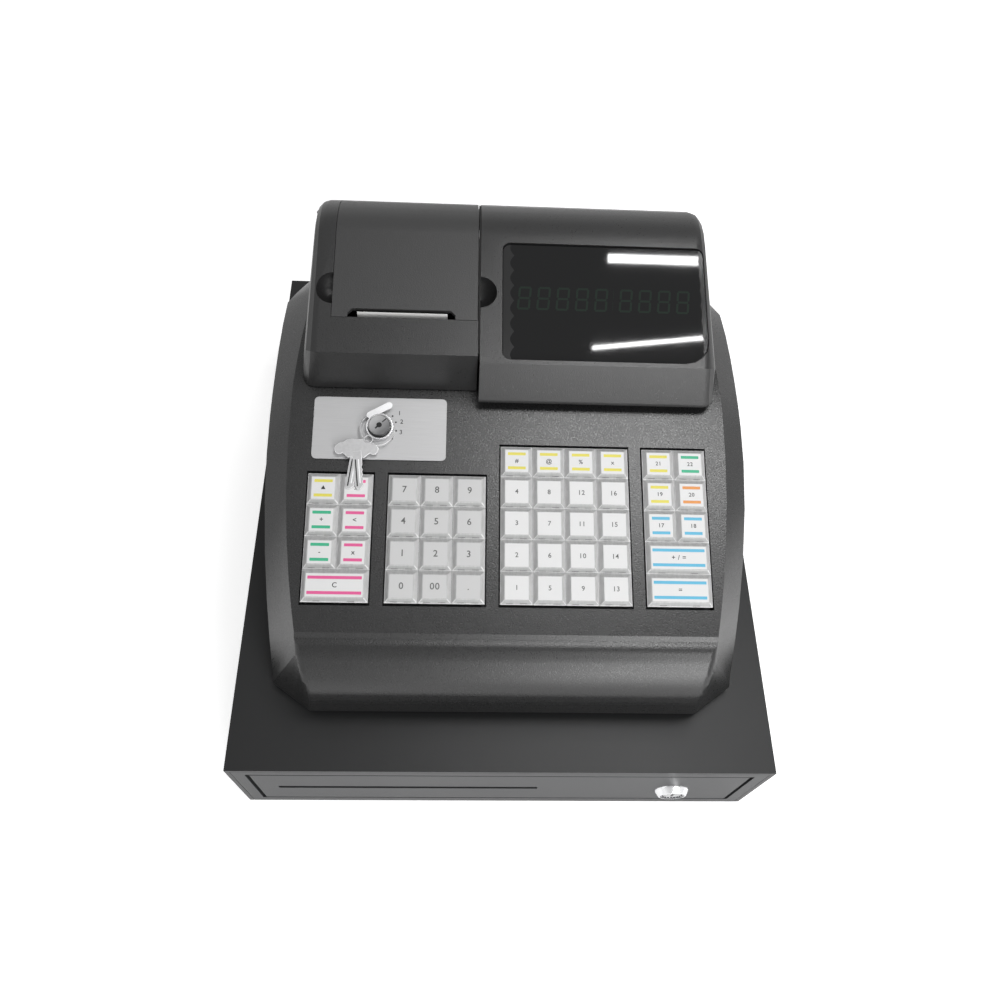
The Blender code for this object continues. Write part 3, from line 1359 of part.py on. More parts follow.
def make_printer_housing():
    front_foot = HOOD_FRONT - PRINTER_FRONT_LEAN
    outline = [(front_foot, PLATEAU_HEIGHT + GAP)] + hood_roof(HOOD_FRONT) + hood_foot(front_foot)
    housing = hood_body("printer_housing", outline, PRINTER_RIGHT, -1)
    left = -HOOD_TOP_HALF_WIDTH + HOOD_WALL
    centre = scoop_centre(LEFT_SCOOP_X)
    cavity = hood_cavity("printer_cavity", HOOD_FRONT + HOOD_WALL, left, PRINTER_RIGHT - HOOD_WALL, centre)
    depth = COVER_SHELL + GAP
    high = HOOD_CENTRE_Z + HOOD_ROLL + OVERRUN
    seat = hood_roof(COVER_FRONT - GAP, depth)
    rebate_outline = seat + [(CASE_REAR + OVERRUN, HOOD_CENTRE_Z), (CASE_REAR + OVERRUN, high)]
    rebate_outline.append((COVER_FRONT - GAP, high))
    rebate = upright_plate("cover_rebate", rebate_outline, COVER_LEFT - GAP, PRINTER_RIGHT + OVERRUN)
    knuckle = rod(
        "knuckle_pocket",
        (COVER_LEFT - 2 * GAP, COVER_HINGE_Y, COVER_HINGE_Z),
        (PRINTER_RIGHT + OVERRUN, COVER_HINGE_Y, COVER_HINGE_Z),
        COVER_HUB_RADIUS + GAP,
    )
    behind = block(
        "knuckle_clearance",
        (COVER_LEFT - GAP, COVER_HINGE_Y, COVER_HINGE_Z - COVER_HUB_RADIUS),
        (PRINTER_RIGHT + OVERRUN, CASE_REAR + OVERRUN, HOOD_CENTRE_Z + COVER_HUB_RADIUS),
    )
    bay = block(
        "paper_bay",
        (COVER_LEFT + BAY_RIM, COVER_FRONT + SLOT_RIM, PLATEAU_HEIGHT),
        (COVER_RIGHT - BAY_RIM, CASE_REAR - HOOD_DECK, high),
    )
    scoop = ball("left_scoop", centre, SCOOP_RADIUS)
    cut(housing, cavity, rebate, knuckle, behind, bay, scoop, cover_pin_hole("left_pin_hole"))
    return finish(housing, "hood_plastic")


def make_printer_cover():
    front = COVER_FRONT
    outer = hood_roof(front)
    inner = hood_roof(front, COVER_SHELL)
    outline = outer + list(reversed(inner))
    cover = upright_plate("printer_cover", outline, COVER_LEFT, COVER_RIGHT)
    hub = rod(
        "cover_hub",
        (COVER_LEFT + GAP, COVER_HINGE_Y, COVER_HINGE_Z),
        (COVER_RIGHT - GAP, COVER_HINGE_Y, COVER_HINGE_Z),
        COVER_HUB_RADIUS,
    )
    pin = rod(
        "cover_pin",
        (COVER_LEFT - GAP - COVER_PIN_LENGTH, COVER_HINGE_Y, COVER_HINGE_Z),
        (DISPLAY_LEFT + COVER_PIN_LENGTH, COVER_HINGE_Y, COVER_HINGE_Z),
        COVER_PIN_RADIUS,
        SMALL_ROUND_STEPS,
    )
    notch_outline = [
        (SLOT_LEFT, front - OVERRUN),
        (SLOT_RIGHT, front - OVERRUN),
        (SLOT_RIGHT, front + SLOT_DEPTH - SLOT_CHAMFER),
        (SLOT_RIGHT - SLOT_CHAMFER, front + SLOT_DEPTH),
        (SLOT_LEFT + SLOT_CHAMFER, front + SLOT_DEPTH),
        (SLOT_LEFT, front + SLOT_DEPTH - SLOT_CHAMFER),
    ]
    notch = level_plate("paper_notch", notch_outline, HOOD_FRONT_HEIGHT, HOOD_CENTRE_Z + HOOD_ROLL)
    fuse(cover, hub, pin)
    cut(cover, notch)
    put_origin(cover, ((COVER_LEFT + COVER_RIGHT) / 2, COVER_HINGE_Y, COVER_HINGE_Z))
    return finish(cover, "hood_plastic")


def window_outline(grow):
    # The window in the roof's own frame, with a wide front right corner.
    low = (WINDOW_LEFT - grow, WINDOW_START - grow)
    high = (WINDOW_RIGHT + grow, WINDOW_END + grow)
    wide = WINDOW_WIDE_CORNER + grow
    small = WINDOW_CORNER + grow
    return rounded(low, high, (small, small, small, wide))


def make_display_housing():
    outline = [
        (DISPLAY_LIP_FRONT, case_surface(DISPLAY_LIP_FRONT) + GAP),
        (DISPLAY_LIP_FRONT + DISPLAY_LIP_EDGE / 4, DISPLAY_LIP_HEIGHT + DISPLAY_LIP_EDGE),
    ]
    outline += hood_roof(DISPLAY_FACE_TOP_Y) + hood_foot(DISPLAY_LIP_FRONT)
    housing = hood_body("display_housing", outline, DISPLAY_LEFT, 1)
    under_lip = block(
        "under_lip",
        (DISPLAY_LEFT - OVERRUN, DISPLAY_LIP_FRONT - OVERRUN, SHOULDER_HEIGHT - OVERRUN),
        (HOOD_BASE_HALF_WIDTH + OVERRUN, DISPLAY_LIP_FRONT + DISPLAY_NECK, DISPLAY_LIP_HEIGHT),
    )
    right = HOOD_TOP_HALF_WIDTH - HOOD_WALL
    centre = scoop_centre(RIGHT_SCOOP_X)
    cavity = hood_cavity("display_cavity", DISPLAY_CAVITY_FRONT, DISPLAY_LEFT + HOOD_WALL, right, centre)
    pocket_low = -WINDOW_RECESS - WINDOW_SHEET - GAP
    pocket = level_plate("window_pocket", window_outline(GAP), pocket_low, OVERRUN, ROOF)
    opening = level_plate("window_opening", window_outline(-WINDOW_LEDGE), -HOOD_DECK - OVERRUN, 0, ROOF)
    scoop = ball("right_scoop", centre, SCOOP_RADIUS)
    cut(housing, under_lip, cavity, pocket, opening, scoop, cover_pin_hole("right_pin_hole"))
    return finish(housing, "hood_plastic")


def make_display_window():
    window = level_plate(
        "display_window", window_outline(0), -WINDOW_RECESS - WINDOW_SHEET, -WINDOW_RECESS, ROOF
    )
    return finish(window, "window_gloss")


def make_display_board():
    left = WINDOW_LEFT + DISPLAY_BOARD_INSET
    right = WINDOW_RIGHT - DISPLAY_BOARD_INSET
    board = block(
        "display_board",
        (left, 0, -DISPLAY_BOARD_DROP - DISPLAY_BOARD_SHEET),
        (right, DISPLAY_BOARD_LENGTH, -DISPLAY_BOARD_DROP),
        ROOF,
    )
    middle = (left + right) / 2
    module = block(
        "digit_module",
        (
            left + DISPLAY_MODULE_MARGIN,
            (DISPLAY_BOARD_LENGTH - DISPLAY_MODULE_LENGTH) / 2,
            -DISPLAY_BOARD_DROP - DISPLAY_BOARD_SHEET / 2,
        ),
        (
            right - DISPLAY_MODULE_MARGIN,
            (DISPLAY_BOARD_LENGTH + DISPLAY_MODULE_LENGTH) / 2,
            DISPLAY_MODULE_HEIGHT - DISPLAY_BOARD_DROP,
        ),
        ROOF,
    )
    board_middle = ROOF @ Vector((0, DISPLAY_LEG / 2, -DISPLAY_BOARD_DROP - DISPLAY_BOARD_SHEET / 2))
    leg_front = board_middle.y - DISPLAY_LEG / 2 + GAP
    legs = [
        (
            (x - DISPLAY_LEG / 2, leg_front, PLATEAU_HEIGHT + GAP),
            (x + DISPLAY_LEG / 2, leg_front + DISPLAY_LEG, board_middle.z),
        )
        for x in (left + DISPLAY_LEG, right - DISPLAY_LEG)
    ]
    fuse(board, module, blocks("board_legs", legs))
    return finish(board, "board_green")


# Receipt printer
def make_printer_mechanism():
    # Flange on the case, print head block and the trough that the roll drops into.
    plate_z = PLATEAU_HEIGHT + GAP
    inner = ROLL_RADIUS + GAP
    outer = inner + TROUGH_WALL
    first = pi + TROUGH_RIM_TURN
    last = 2 * pi - TROUGH_RIM_TURN
    centre = (ROLL_Y, ROLL_Z)
    trough_outline = arc(centre, outer, first, last, TROUGH_STEPS)
    trough_outline += arc(centre, inner, last, first, TROUGH_STEPS)
    left = PAPER_LEFT - GAP
    right = PAPER_RIGHT + GAP
    flange = block(
        "printer_mechanism",
        (-HOOD_TOP_HALF_WIDTH + HOOD_WALL + GAP, FLANGE_FRONT, plate_z),
        (PRINTER_RIGHT - HOOD_WALL - GAP, ROLL_Y - inner - TROUGH_WALL / 2, plate_z + FLANGE_SHEET),
    )
    trough = upright_plate("roll_trough", trough_outline, left - TROUGH_WALL / 2, right + TROUGH_WALL / 2)
    cheek_rim = 3 * TROUGH_RIM_TURN
    cheek_outline = arc(centre, inner + TROUGH_WALL / 2, pi + cheek_rim, 2 * pi - cheek_rim, TROUGH_STEPS - 1)
    left_cheek = upright_plate("left_cheek", cheek_outline, left - TROUGH_WALL, left)
    right_cheek = upright_plate("right_cheek", cheek_outline, right, right + TROUGH_WALL)
    head = block(
        "print_head",
        (left - TROUGH_WALL, HEAD_FRONT, plate_z + FLANGE_SHEET / 2),
        (right + TROUGH_WALL, HEAD_REAR, HEAD_TOP),
    )
    half = PAPER_SHEET / 2 + GAP
    paper_slot = block(
        "head_slot",
        (left - GAP, PAPER_Y - half, HEAD_TOP - HEAD_SLOT_DEPTH),
        (right + GAP, PAPER_Y + half, HEAD_TOP + OVERRUN),
    )
    fuse(flange, trough, left_cheek, right_cheek, head)
    cut(flange, paper_slot)
    return finish(flange, "inner_plastic")


def make_paper_roll():
    roll = rod(
        "paper_roll", (PAPER_LEFT + GAP, ROLL_Y, ROLL_Z), (PAPER_RIGHT - GAP, ROLL_Y, ROLL_Z), ROLL_RADIUS
    )
    core = rod(
        "roll_core",
        (PAPER_LEFT - OVERRUN, ROLL_Y, ROLL_Z),
        (PAPER_RIGHT + OVERRUN, ROLL_Y, ROLL_Z),
        ROLL_CORE_RADIUS,
        SMALL_ROUND_STEPS,
    )
    cut(roll, core)
    put_origin(roll, ((PAPER_LEFT + PAPER_RIGHT) / 2, ROLL_Y, ROLL_Z))
    return finish(roll, "paper_white")


def make_receipt_paper():
    paper = block(
        "receipt_paper",
        (PAPER_LEFT, PAPER_Y - PAPER_SHEET / 2, HEAD_TOP - HEAD_SLOT_DEPTH + GAP),
        (PAPER_RIGHT, PAPER_Y + PAPER_SHEET / 2, PAPER_TOP),
    )
    return finish(paper, "paper_white")


clear_scene()
part_pieces = new_collection("ticket_register", False)
cutter_pieces = new_collection("cutters", True)
key_stems = []

make_feet()
make_cabinet_cover()
make_cabinet_frame()
make_drawer_pan()
make_drawer_front()
make_cash_tray()
make_bill_clips()
make_drawer_lock()
make_drawer_latch()
make_case_bottom()
make_case_top()
make_main_board()
make_keys()
make_guide_plate()
make_name_plate()
make_mode_lock()
make_mode_keys()
make_printer_housing()
make_printer_cover()
make_display_housing()
make_display_window()
make_display_board()
make_printer_mechanism()
make_paper_roll()
make_receipt_paper()
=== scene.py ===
import json
from math import atan, cos, pi, radians, sin

import bpy
from mathutils import Matrix, Vector

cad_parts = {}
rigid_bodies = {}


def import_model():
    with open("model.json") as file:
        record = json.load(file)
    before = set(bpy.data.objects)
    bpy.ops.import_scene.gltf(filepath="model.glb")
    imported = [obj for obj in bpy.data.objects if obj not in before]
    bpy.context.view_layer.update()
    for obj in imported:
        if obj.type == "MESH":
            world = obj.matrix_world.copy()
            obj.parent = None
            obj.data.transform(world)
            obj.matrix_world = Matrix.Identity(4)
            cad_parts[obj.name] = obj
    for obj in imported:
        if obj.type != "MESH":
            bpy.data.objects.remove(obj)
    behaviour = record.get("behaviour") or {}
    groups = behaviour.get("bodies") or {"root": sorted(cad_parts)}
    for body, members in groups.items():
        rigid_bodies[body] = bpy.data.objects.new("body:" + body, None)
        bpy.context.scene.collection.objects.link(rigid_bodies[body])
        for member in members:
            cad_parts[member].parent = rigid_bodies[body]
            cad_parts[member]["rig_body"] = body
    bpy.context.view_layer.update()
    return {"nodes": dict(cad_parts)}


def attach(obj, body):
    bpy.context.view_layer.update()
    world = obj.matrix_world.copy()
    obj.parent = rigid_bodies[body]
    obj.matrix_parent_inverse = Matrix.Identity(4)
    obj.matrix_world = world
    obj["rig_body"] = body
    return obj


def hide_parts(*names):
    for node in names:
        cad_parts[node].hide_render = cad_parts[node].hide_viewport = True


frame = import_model()
nodes = frame["nodes"]
print("frame loaded:", len(nodes), "nodes")

mm = 0.001
slant = 0.2355  # rise of the keyboard and of the hood's roof for each unit of depth
slope = atan(slant)
panelFoot = (0, -0.1045, 0.16499)
roofFoot = (0, 0.026, 0.227)
panel = Matrix.Translation(panelFoot) @ Matrix.Rotation(slope, 4, "X")
lockSpot = (-83.1, 102.6)  # the mode lock's place across and up the panel, in millimetres


# small helpers for picking and finishing
def pickOnly(*objects):
    bpy.ops.object.select_all(action="DESELECT")
    for each in objects:
        each.select_set(True)
    bpy.context.view_layer.objects.active = objects[0]


def startFresh():
    bpy.ops.object.select_all(action="DESELECT")
    bpy.context.view_layer.objects.active = None


def editing(piece, step):
    pickOnly(piece)
    bpy.ops.object.mode_set(mode="EDIT")
    step()
    bpy.ops.object.mode_set(mode="OBJECT")


def giveLook(piece, *looks):
    piece.data.materials.clear()
    for look in looks:
        piece.data.materials.append(look)
    return piece


def paintFaces(piece, number, test):
    for face in piece.data.polygons:
        if test(face.center, face.normal):
            face.material_index = number


def withModifier(piece, kind, **settings):
    modifier = piece.modifiers.new(kind.lower(), kind)
    for name, value in settings.items():
        setattr(modifier, name, value)
    pickOnly(piece)
    bpy.ops.object.modifier_apply(modifier=modifier.name)


def smooth(piece, angle=32):
    pickOnly(piece)
    bpy.ops.object.shade_smooth_by_angle(angle=radians(angle))
    withModifier(piece, "WEIGHTED_NORMAL", keep_sharp=True, weight=80)


def softEdges(piece, width, segments=2, angle=28, **settings):
    withModifier(
        piece, "BEVEL", width=width, segments=segments, limit_method="ANGLE",
        angle_limit=radians(angle), use_clamp_overlap=True, **settings,
    )


def settle(piece, place=None):
    # puts the piece's place into its mesh, so that the object sits at the origin
    if place is not None:
        piece.matrix_world = place @ piece.matrix_basis
    pickOnly(piece)
    bpy.ops.object.transform_apply(location=True, rotation=True, scale=True)


def joined(first, *others):
    if others:
        pickOnly(first, *others)
        bpy.ops.object.join()
    return first


def ownCopy(piece, name, place):
    # a copy with its own mesh, moved to its place
    made = bpy.data.objects.new(name, piece.data.copy())
    bpy.context.scene.collection.objects.link(made)
    made.data.transform(place)
    return made


def oblong(left, right, low, high):
    return ((left, low), (right, low), (right, high), (left, high))


def onPanel(x, s, turn=0):
    # a place on the panel, from millimetres across it and up it
    return Matrix.Translation((x * mm, s * mm, 0)) @ Matrix.Rotation(radians(turn), 4, "Z")


masters = {}


def copyOf(make, place, *settings):
    # a repeated piece is modelled once at the origin, and each copy of it gets its own mesh
    made = (make, *settings)
    if made not in masters:
        masters[made] = make(*settings)
    return ownCopy(masters[made], make.__name__, place)


def plateOf(name, outline, low, high, edge=0):
    # a flat plate of an outline in millimetres, between two heights
    startFresh()
    bpy.ops.mesh.primitive_circle_add(vertices=len(outline), radius=1, fill_type="NGON", location=(0, 0, 0))
    plate = bpy.context.object
    plate.name = name
    for vert, (across, along) in zip(plate.data.vertices, outline):
        vert.co = (across * mm, along * mm, low * mm)
    editing(plate, outwards)
    if high > low:
        up = plate.data.polygons[0].normal.z > 0
        withModifier(plate, "SOLIDIFY", thickness=(high - low) * mm, offset=1 if up else -1)
        editing(plate, outwards)
    if edge:
        softEdges(plate, edge * mm, angle=30)
    return plate


def outwards():
    bpy.ops.mesh.select_all(action="SELECT")
    bpy.ops.mesh.normals_make_consistent(inside=False)


def turnedPiece(name, profile, segments):
    # a piece turned about Z, from a profile of radius and height in millimetres
    startFresh()
    radius, height = profile[0]
    bpy.ops.mesh.primitive_circle_add(vertices=segments, radius=radius * mm, location=(0, 0, height * mm))
    piece = bpy.context.object
    piece.name = name
    settle(piece)
    bpy.ops.object.mode_set(mode="EDIT")
    bpy.ops.mesh.select_all(action="SELECT")
    for nextRadius, nextHeight in profile[1:]:
        rise = (0, 0, (nextHeight - height) * mm)
        bpy.ops.mesh.extrude_region_move(TRANSFORM_OT_translate={"value": rise})
        share = nextRadius / radius
        bpy.ops.transform.resize(value=(share, share, 1), center_override=(0, 0, nextHeight * mm))
        radius, height = nextRadius, nextHeight
    bpy.ops.mesh.edge_face_add()
    outwards()
    bpy.ops.object.mode_set(mode="OBJECT")
    return piece


def castCopy(node, name):
    # a merged copy of a solid of the frame
    made = bpy.data.objects.new(name, nodes[node].data.copy())
    bpy.context.scene.collection.objects.link(made)

    def clean():
        bpy.ops.mesh.select_all(action="SELECT")
        bpy.ops.mesh.remove_doubles(threshold=0.00001)
        bpy.ops.mesh.dissolve_limited(angle_limit=radians(0.4))

    editing(made, clean)
    return made


def stands(piece, node):
    # a piece that takes a solid's place
    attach(piece, nodes[node]["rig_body"])
    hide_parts(node)


def added(piece, body):
    # a piece that no solid stands for
    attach(piece, body)


# shader maths: a socket that takes part in Python expressions
class Wire:
    def __init__(self, look, socket):
        self.look = look
        self.socket = socket

    def __add__(self, other):
        return self.look.maths("ADD", self, other)

    def __radd__(self, other):
        return self.look.maths("ADD", other, self)

    def __sub__(self, other):
        return self.look.maths("SUBTRACT", self, other)

    def __rsub__(self, other):
        return self.look.maths("SUBTRACT", other, self)

    def __mul__(self, other):
        return self.look.maths("MULTIPLY", self, other)

    def __rmul__(self, other):
        return self.look.maths("MULTIPLY", other, self)

    def __truediv__(self, other):
        return self.look.maths("DIVIDE", self, other)

    def __pow__(self, other):
        return self.look.maths("POWER", self, other)

    def __abs__(self):
        return self.look.maths("ABSOLUTE", self)

    def __gt__(self, other):
        return self.look.maths("GREATER_THAN", self, other)

    def __lt__(self, other):
        return self.look.maths("LESS_THAN", self, other)

    def wave(self):
        return self.look.maths("SINE", self)

    def part(self):
        return self.look.maths("FRACT", self)

    def within(self, low, high):
        return (self > low) * (self < high)


class NodeWork:
    def __init__(self, tree):
        self.tree = tree
        self.coordinates = self.node("ShaderNodeTexCoord", {}, {}, "Object")
        parts = self.tree.nodes.new("ShaderNodeSeparateXYZ")
        self.fit(self.coordinates, parts.inputs[0])
        self.x, self.y, self.z = [Wire(self, each) for each in parts.outputs]

    def fit(self, value, socket):
        if isinstance(value, Wire):
            self.tree.links.new(value.socket, socket)
        elif isinstance(value, (tuple, list)) and socket.type == "RGBA" and len(value) == 3:
            socket.default_value = (*value, 1)
        else:
            socket.default_value = value

    def node(self, kind, settings, inputs, output=0):
        made = self.tree.nodes.new(kind)
        for name, value in settings.items():
            setattr(made, name, value)
        for name, value in inputs.items():
            self.fit(value, made.inputs[name])
        return Wire(self, made.outputs[output])

    def maths(self, operation, *values):
        return self.node("ShaderNodeMath", {"operation": operation}, dict(enumerate(values)))

    def clamped(self, value):
        return self.node("ShaderNodeClamp", {}, {"Value": value})

    def mix(self, share, first, second):
        return self.node("ShaderNodeMix", {"data_type": "RGBA"}, {0: share, 6: first, 7: second}, 2)

    def rays(self, kind):
        return self.node("ShaderNodeLightPath", {}, {}, "Is " + kind + " Ray")

    def seenDirectly(self):
        # one where the camera, a reflection or clear glass looks at it, nought where it lights other things
        return self.clamped(self.rays("Camera") + self.rays("Glossy") + self.rays("Transmission"))


class Look(NodeWork):
    def __init__(self, name, **constants):
        self.material = bpy.data.materials.new(name)
        self.material.use_nodes = True
        super().__init__(self.material.node_tree)
        self.shader = self.tree.nodes["Principled BSDF"]
        for socket, value in constants.items():
            self.shader.inputs[socket.replace("_", " ")].default_value = value

    def stretched(self, scale):
        return self.node("ShaderNodeMapping", {}, {"Vector": self.coordinates, "Scale": scale})

    def noise(self, scale, detail=3, roughness=0.5, vector=None):
        place = self.coordinates if vector is None else vector
        grain = {"Vector": place, "Scale": scale, "Detail": detail, "Roughness": roughness}
        return self.node("ShaderNodeTexNoise", {}, grain)

    def cells(self, scale):
        place = {"Vector": self.coordinates, "Scale": scale}
        return self.node("ShaderNodeTexVoronoi", {}, place, "Distance")

    def set(self, **values):
        for socket, value in values.items():
            self.fit(value, self.shader.inputs[socket.replace("_", " ")])

    def bump(self, height, strength, distance):
        relief = {"Height": height, "Strength": strength, "Distance": distance}
        self.fit(self.node("ShaderNodeBump", {}, relief), self.shader.inputs["Normal"])


# plastics, paints and metals
def mouldedPlastic(name, dark, light, roughness, grain):
    look = Look(name, Specular_IOR_Level=0.55)
    texture = look.noise(1000, 2, 0.65)
    pits = look.cells(1300)
    cloud = look.noise(9, 3)
    scuff = look.noise(140, 4, 0.65)
    worn = roughness - 0.05 + 0.08 * cloud + 0.06 * (scuff - 0.4) + 0.3 * (texture - 0.5)
    look.set(
        Base_Color=look.mix(look.clamped(0.25 + 0.5 * cloud + 0.35 * (texture - 0.5)), dark, light),
        Roughness=look.clamped(worn),
    )
    look.bump(texture * 0.6 + pits * 0.4, grain, 0.00026)
    return look.material


def powderCoat(name, dark, light, roughness):
    look = Look(name, Specular_IOR_Level=0.34)
    peel = look.noise(700, 2, 0.55)
    specks = look.noise(3800, 1)
    cloud = look.noise(6, 2)
    look.set(
        Base_Color=look.mix(look.clamped(0.2 + 0.45 * cloud + 0.5 * (specks - 0.45)), dark, light),
        Roughness=look.clamped(roughness - 0.04 + 0.1 * cloud),
    )
    look.bump(peel * 0.7 + specks * 0.3, 0.25, 0.0002)
    return look.material


def brushedMetal(name, dark, light, roughness, scale, metallic=1):
    look = Look(name, Metallic=metallic)
    streaks = look.noise(1, 5, 0.7, look.stretched(scale))
    cloud = look.noise(18, 2)
    look.set(
        Base_Color=look.mix(look.clamped(streaks * 1.6 - 0.3), dark, light),
        Roughness=look.clamped(roughness - 0.06 + 0.16 * streaks + 0.05 * cloud),
    )
    look.bump(streaks, 0.12, 0.00005)
    return look.material


def brightMetal(name, colour, dull, roughness):
    look = Look(name, Metallic=1)
    smears = look.noise(160, 4, 0.6)
    marks = look.noise(900, 2)
    look.set(
        Base_Color=look.mix(look.clamped(smears * 1.4 - 0.4), colour, dull),
        Roughness=look.clamped(roughness + 0.12 * (smears - 0.4)),
    )
    look.bump(marks, 0.06, 0.00005)
    return look.material


def clearMoulding(name, low, high, roughness):
    # the sloping sides of a clear cap, with the grey that shines through them
    look = Look(name, Specular_IOR_Level=0.4)
    flow = look.noise(1, 3, 0.6, look.stretched((700, 160, 160)))
    dips = look.noise(420, 2)
    look.set(
        Base_Color=look.mix(look.clamped(flow * 1.5 - 0.25), low, high),
        Roughness=look.clamped(roughness + 0.1 * dips),
    )
    look.bump(dips, 0.1, 0.0001)
    return look.material


def printedCard(name, colour, shade):
    # a printed card under the clear top of a key
    look = Look(name, Specular_IOR_Level=0.2)
    fibres = look.noise(2400, 3, 0.6)
    cloud = look.noise(60, 2)
    look.set(
        Base_Color=look.mix(look.clamped(0.5 * fibres + 0.5 * cloud - 0.1), colour, shade),
        Roughness=look.clamped(0.42 + 0.12 * (fibres - 0.5)),
    )
    look.bump(cloud, 0.03, 0.0001)
    return look.material


def softRubber():
    look = Look("softRubber")
    dust = look.noise(500, 4, 0.65)
    look.set(
        Base_Color=look.mix(look.clamped(dust * 1.5 - 0.4), (0.014, 0.014, 0.014), (0.035, 0.034, 0.033)),
        Roughness=look.clamped(0.75 + 0.2 * dust),
    )
    look.bump(dust, 0.3, 0.0002)
    return look.material


def receiptStock():
    look = Look("receiptStock")
    fibres = look.noise(1, 4, 0.65, look.stretched((900, 900, 2600)))
    wraps = look.noise(1800, 2)
    look.set(
        Base_Color=look.mix(look.clamped(fibres * 0.7 + 0.1 * wraps), (0.9, 0.9, 0.89), (0.8, 0.8, 0.78)),
        Roughness=look.clamped(0.62 + 0.2 * fibres),
    )
    look.bump(fibres, 0.08, 0.0001)
    return look.material


def circuitBoard():
    look = Look("circuitBoard", Coat_Weight=0.4, Coat_Roughness=0.2)
    lanes = ((look.x + look.y * 0.2) * 260).part().within(0.35, 0.6)
    gate = look.noise(45, 0) > 0.5
    pads = look.cells(180) < 0.16
    track = look.clamped(lanes * gate + pads)
    look.set(
        Base_Color=look.mix(track, (0.01, 0.09, 0.035), (0.05, 0.24, 0.1)),
        Roughness=look.clamped(0.5 - 0.15 * track),
    )
    look.bump(track, 0.25, 0.0001)
    return look.material


def turnedMetal(name, centre, spread):
    # dark metal with the fine marks of a turning tool round a centre, its darkness a painted shade for the
    # inside of a recess
    look = Look(name, Metallic=1)
    across = look.x - centre[0]
    up = (look.y - centre[1]) * spread
    reach = (across * across + up * up) ** 0.5
    rings = (reach * 14000).wave() * 0.5 + 0.5
    wear = look.noise(300, 3)
    shade = look.clamped(rings * 0.5 + 0.6 * wear - 0.1)
    look.set(
        Base_Color=look.mix(shade, (0.07, 0.07, 0.075), (0.24, 0.24, 0.25)),
        Roughness=look.clamped(0.3 + 0.15 * wear),
    )
    look.bump(rings, 0.1, 0.00003)
    return look.material


# the window's digits and film, in millimetres across the roof and up it
windowPlan = {
    "first": 1.3, "pitch": 12.4, "lean": 0.1, "from": 34, "height": 16.5,
    "count": 9, "leftCount": 5, "gap": 3.6,
    "barReach": (2.4, 9.2), "bars": ((0, 0.09), (0.455, 0.545), (0.91, 1)),
    "posts": ((1.6, 3), (8.6, 10)), "postRise": ((0.06, 0.44), (0.56, 0.94)),
    "film": (-1.2, 123.2), "scallop": 2.6, "scallopTurn": 0.29, "scallopStart": 0.9,
}


def inAny(value, spans):
    first, *others = [value.within(*span) for span in spans]
    for other in others:
        first = first + other
    return first


def displayGlass():
    # black gloss with the faint unlit digits of the display under it
    plan = windowPlan
    look = Look("displayGlass", Specular_IOR_Level=0.2)
    up = ((look.y - roofFoot[1]) * cos(slope) + (look.z - roofFoot[2]) * sin(slope)) / mm
    across = look.x / mm
    leaned = across - (up - plan["from"]) * plan["lean"] - plan["first"]
    leaned = leaned - (leaned > plan["leftCount"] * plan["pitch"] + 1) * plan["gap"]
    place = leaned / plan["pitch"]
    inDigit = place.part() * plan["pitch"]
    rise = (up - plan["from"]) / plan["height"]
    row = rise.within(0, 1) * place.within(0, plan["count"])
    bars = inAny(rise, plan["bars"]) * inDigit.within(*plan["barReach"])
    posts = inAny(inDigit, plan["posts"]) * inAny(rise, plan["postRise"])
    digits = look.clamped(bars + posts) * row
    left, right = plan["film"]
    scallop = abs((up * plan["scallopTurn"] + plan["scallopStart"]).wave()) * plan["scallop"]
    film = (across > left + plan["scallop"] - scallop) * (across < right - 1 + 0.3 * scallop)
    haze = look.noise(30, 2)
    inside = look.mix(digits, (0.013, 0.0132, 0.0136), (0.017, 0.026, 0.0205))
    look.set(
        Base_Color=look.mix(film, (0.03, 0.03, 0.0305), inside),
        Roughness=look.clamped(0.02 + 0.02 * haze + (1 - film) * 0.1),
    )
    return look.material


def lockBarrel(name, centre, spread):
    # satin metal with painted shading, going from dark grey at one side to light grey at the other
    look = Look(name, Metallic=0.4)
    across = (look.x - centre[0]) / mm
    up = (look.y - centre[1]) * spread / mm
    reach = (across * across + up * up) ** 0.5
    rings = (reach * 12).wave() * 0.5 + 0.5
    wear = look.noise(300, 3)
    # painted shading: lighter towards the upper left, darker towards the lower right, with the rings and wear
    # laid over it
    shade = look.clamped((up - across) * 0.07 + 0.55) + 0.15 * rings + 0.2 * (wear - 0.5)
    look.set(
        Base_Color=look.mix(look.clamped(shade), (0.13, 0.13, 0.133), (0.42, 0.42, 0.425)),
        Roughness=look.clamped(0.34 + 0.15 * wear),
    )
    look.bump(rings, 0.1, 0.00003)
    return look.material


# near black standing for the shade inside holes, slits, grooves and seams: painted shade
def darkGap():
    look = Look("darkGap")
    dust = look.noise(300, 2)
    look.set(
        Base_Color=look.mix(dust, (0.006, 0.006, 0.006), (0.014, 0.014, 0.014)),
        Roughness=look.clamped(0.8 + 0.1 * dust),
    )
    return look.material


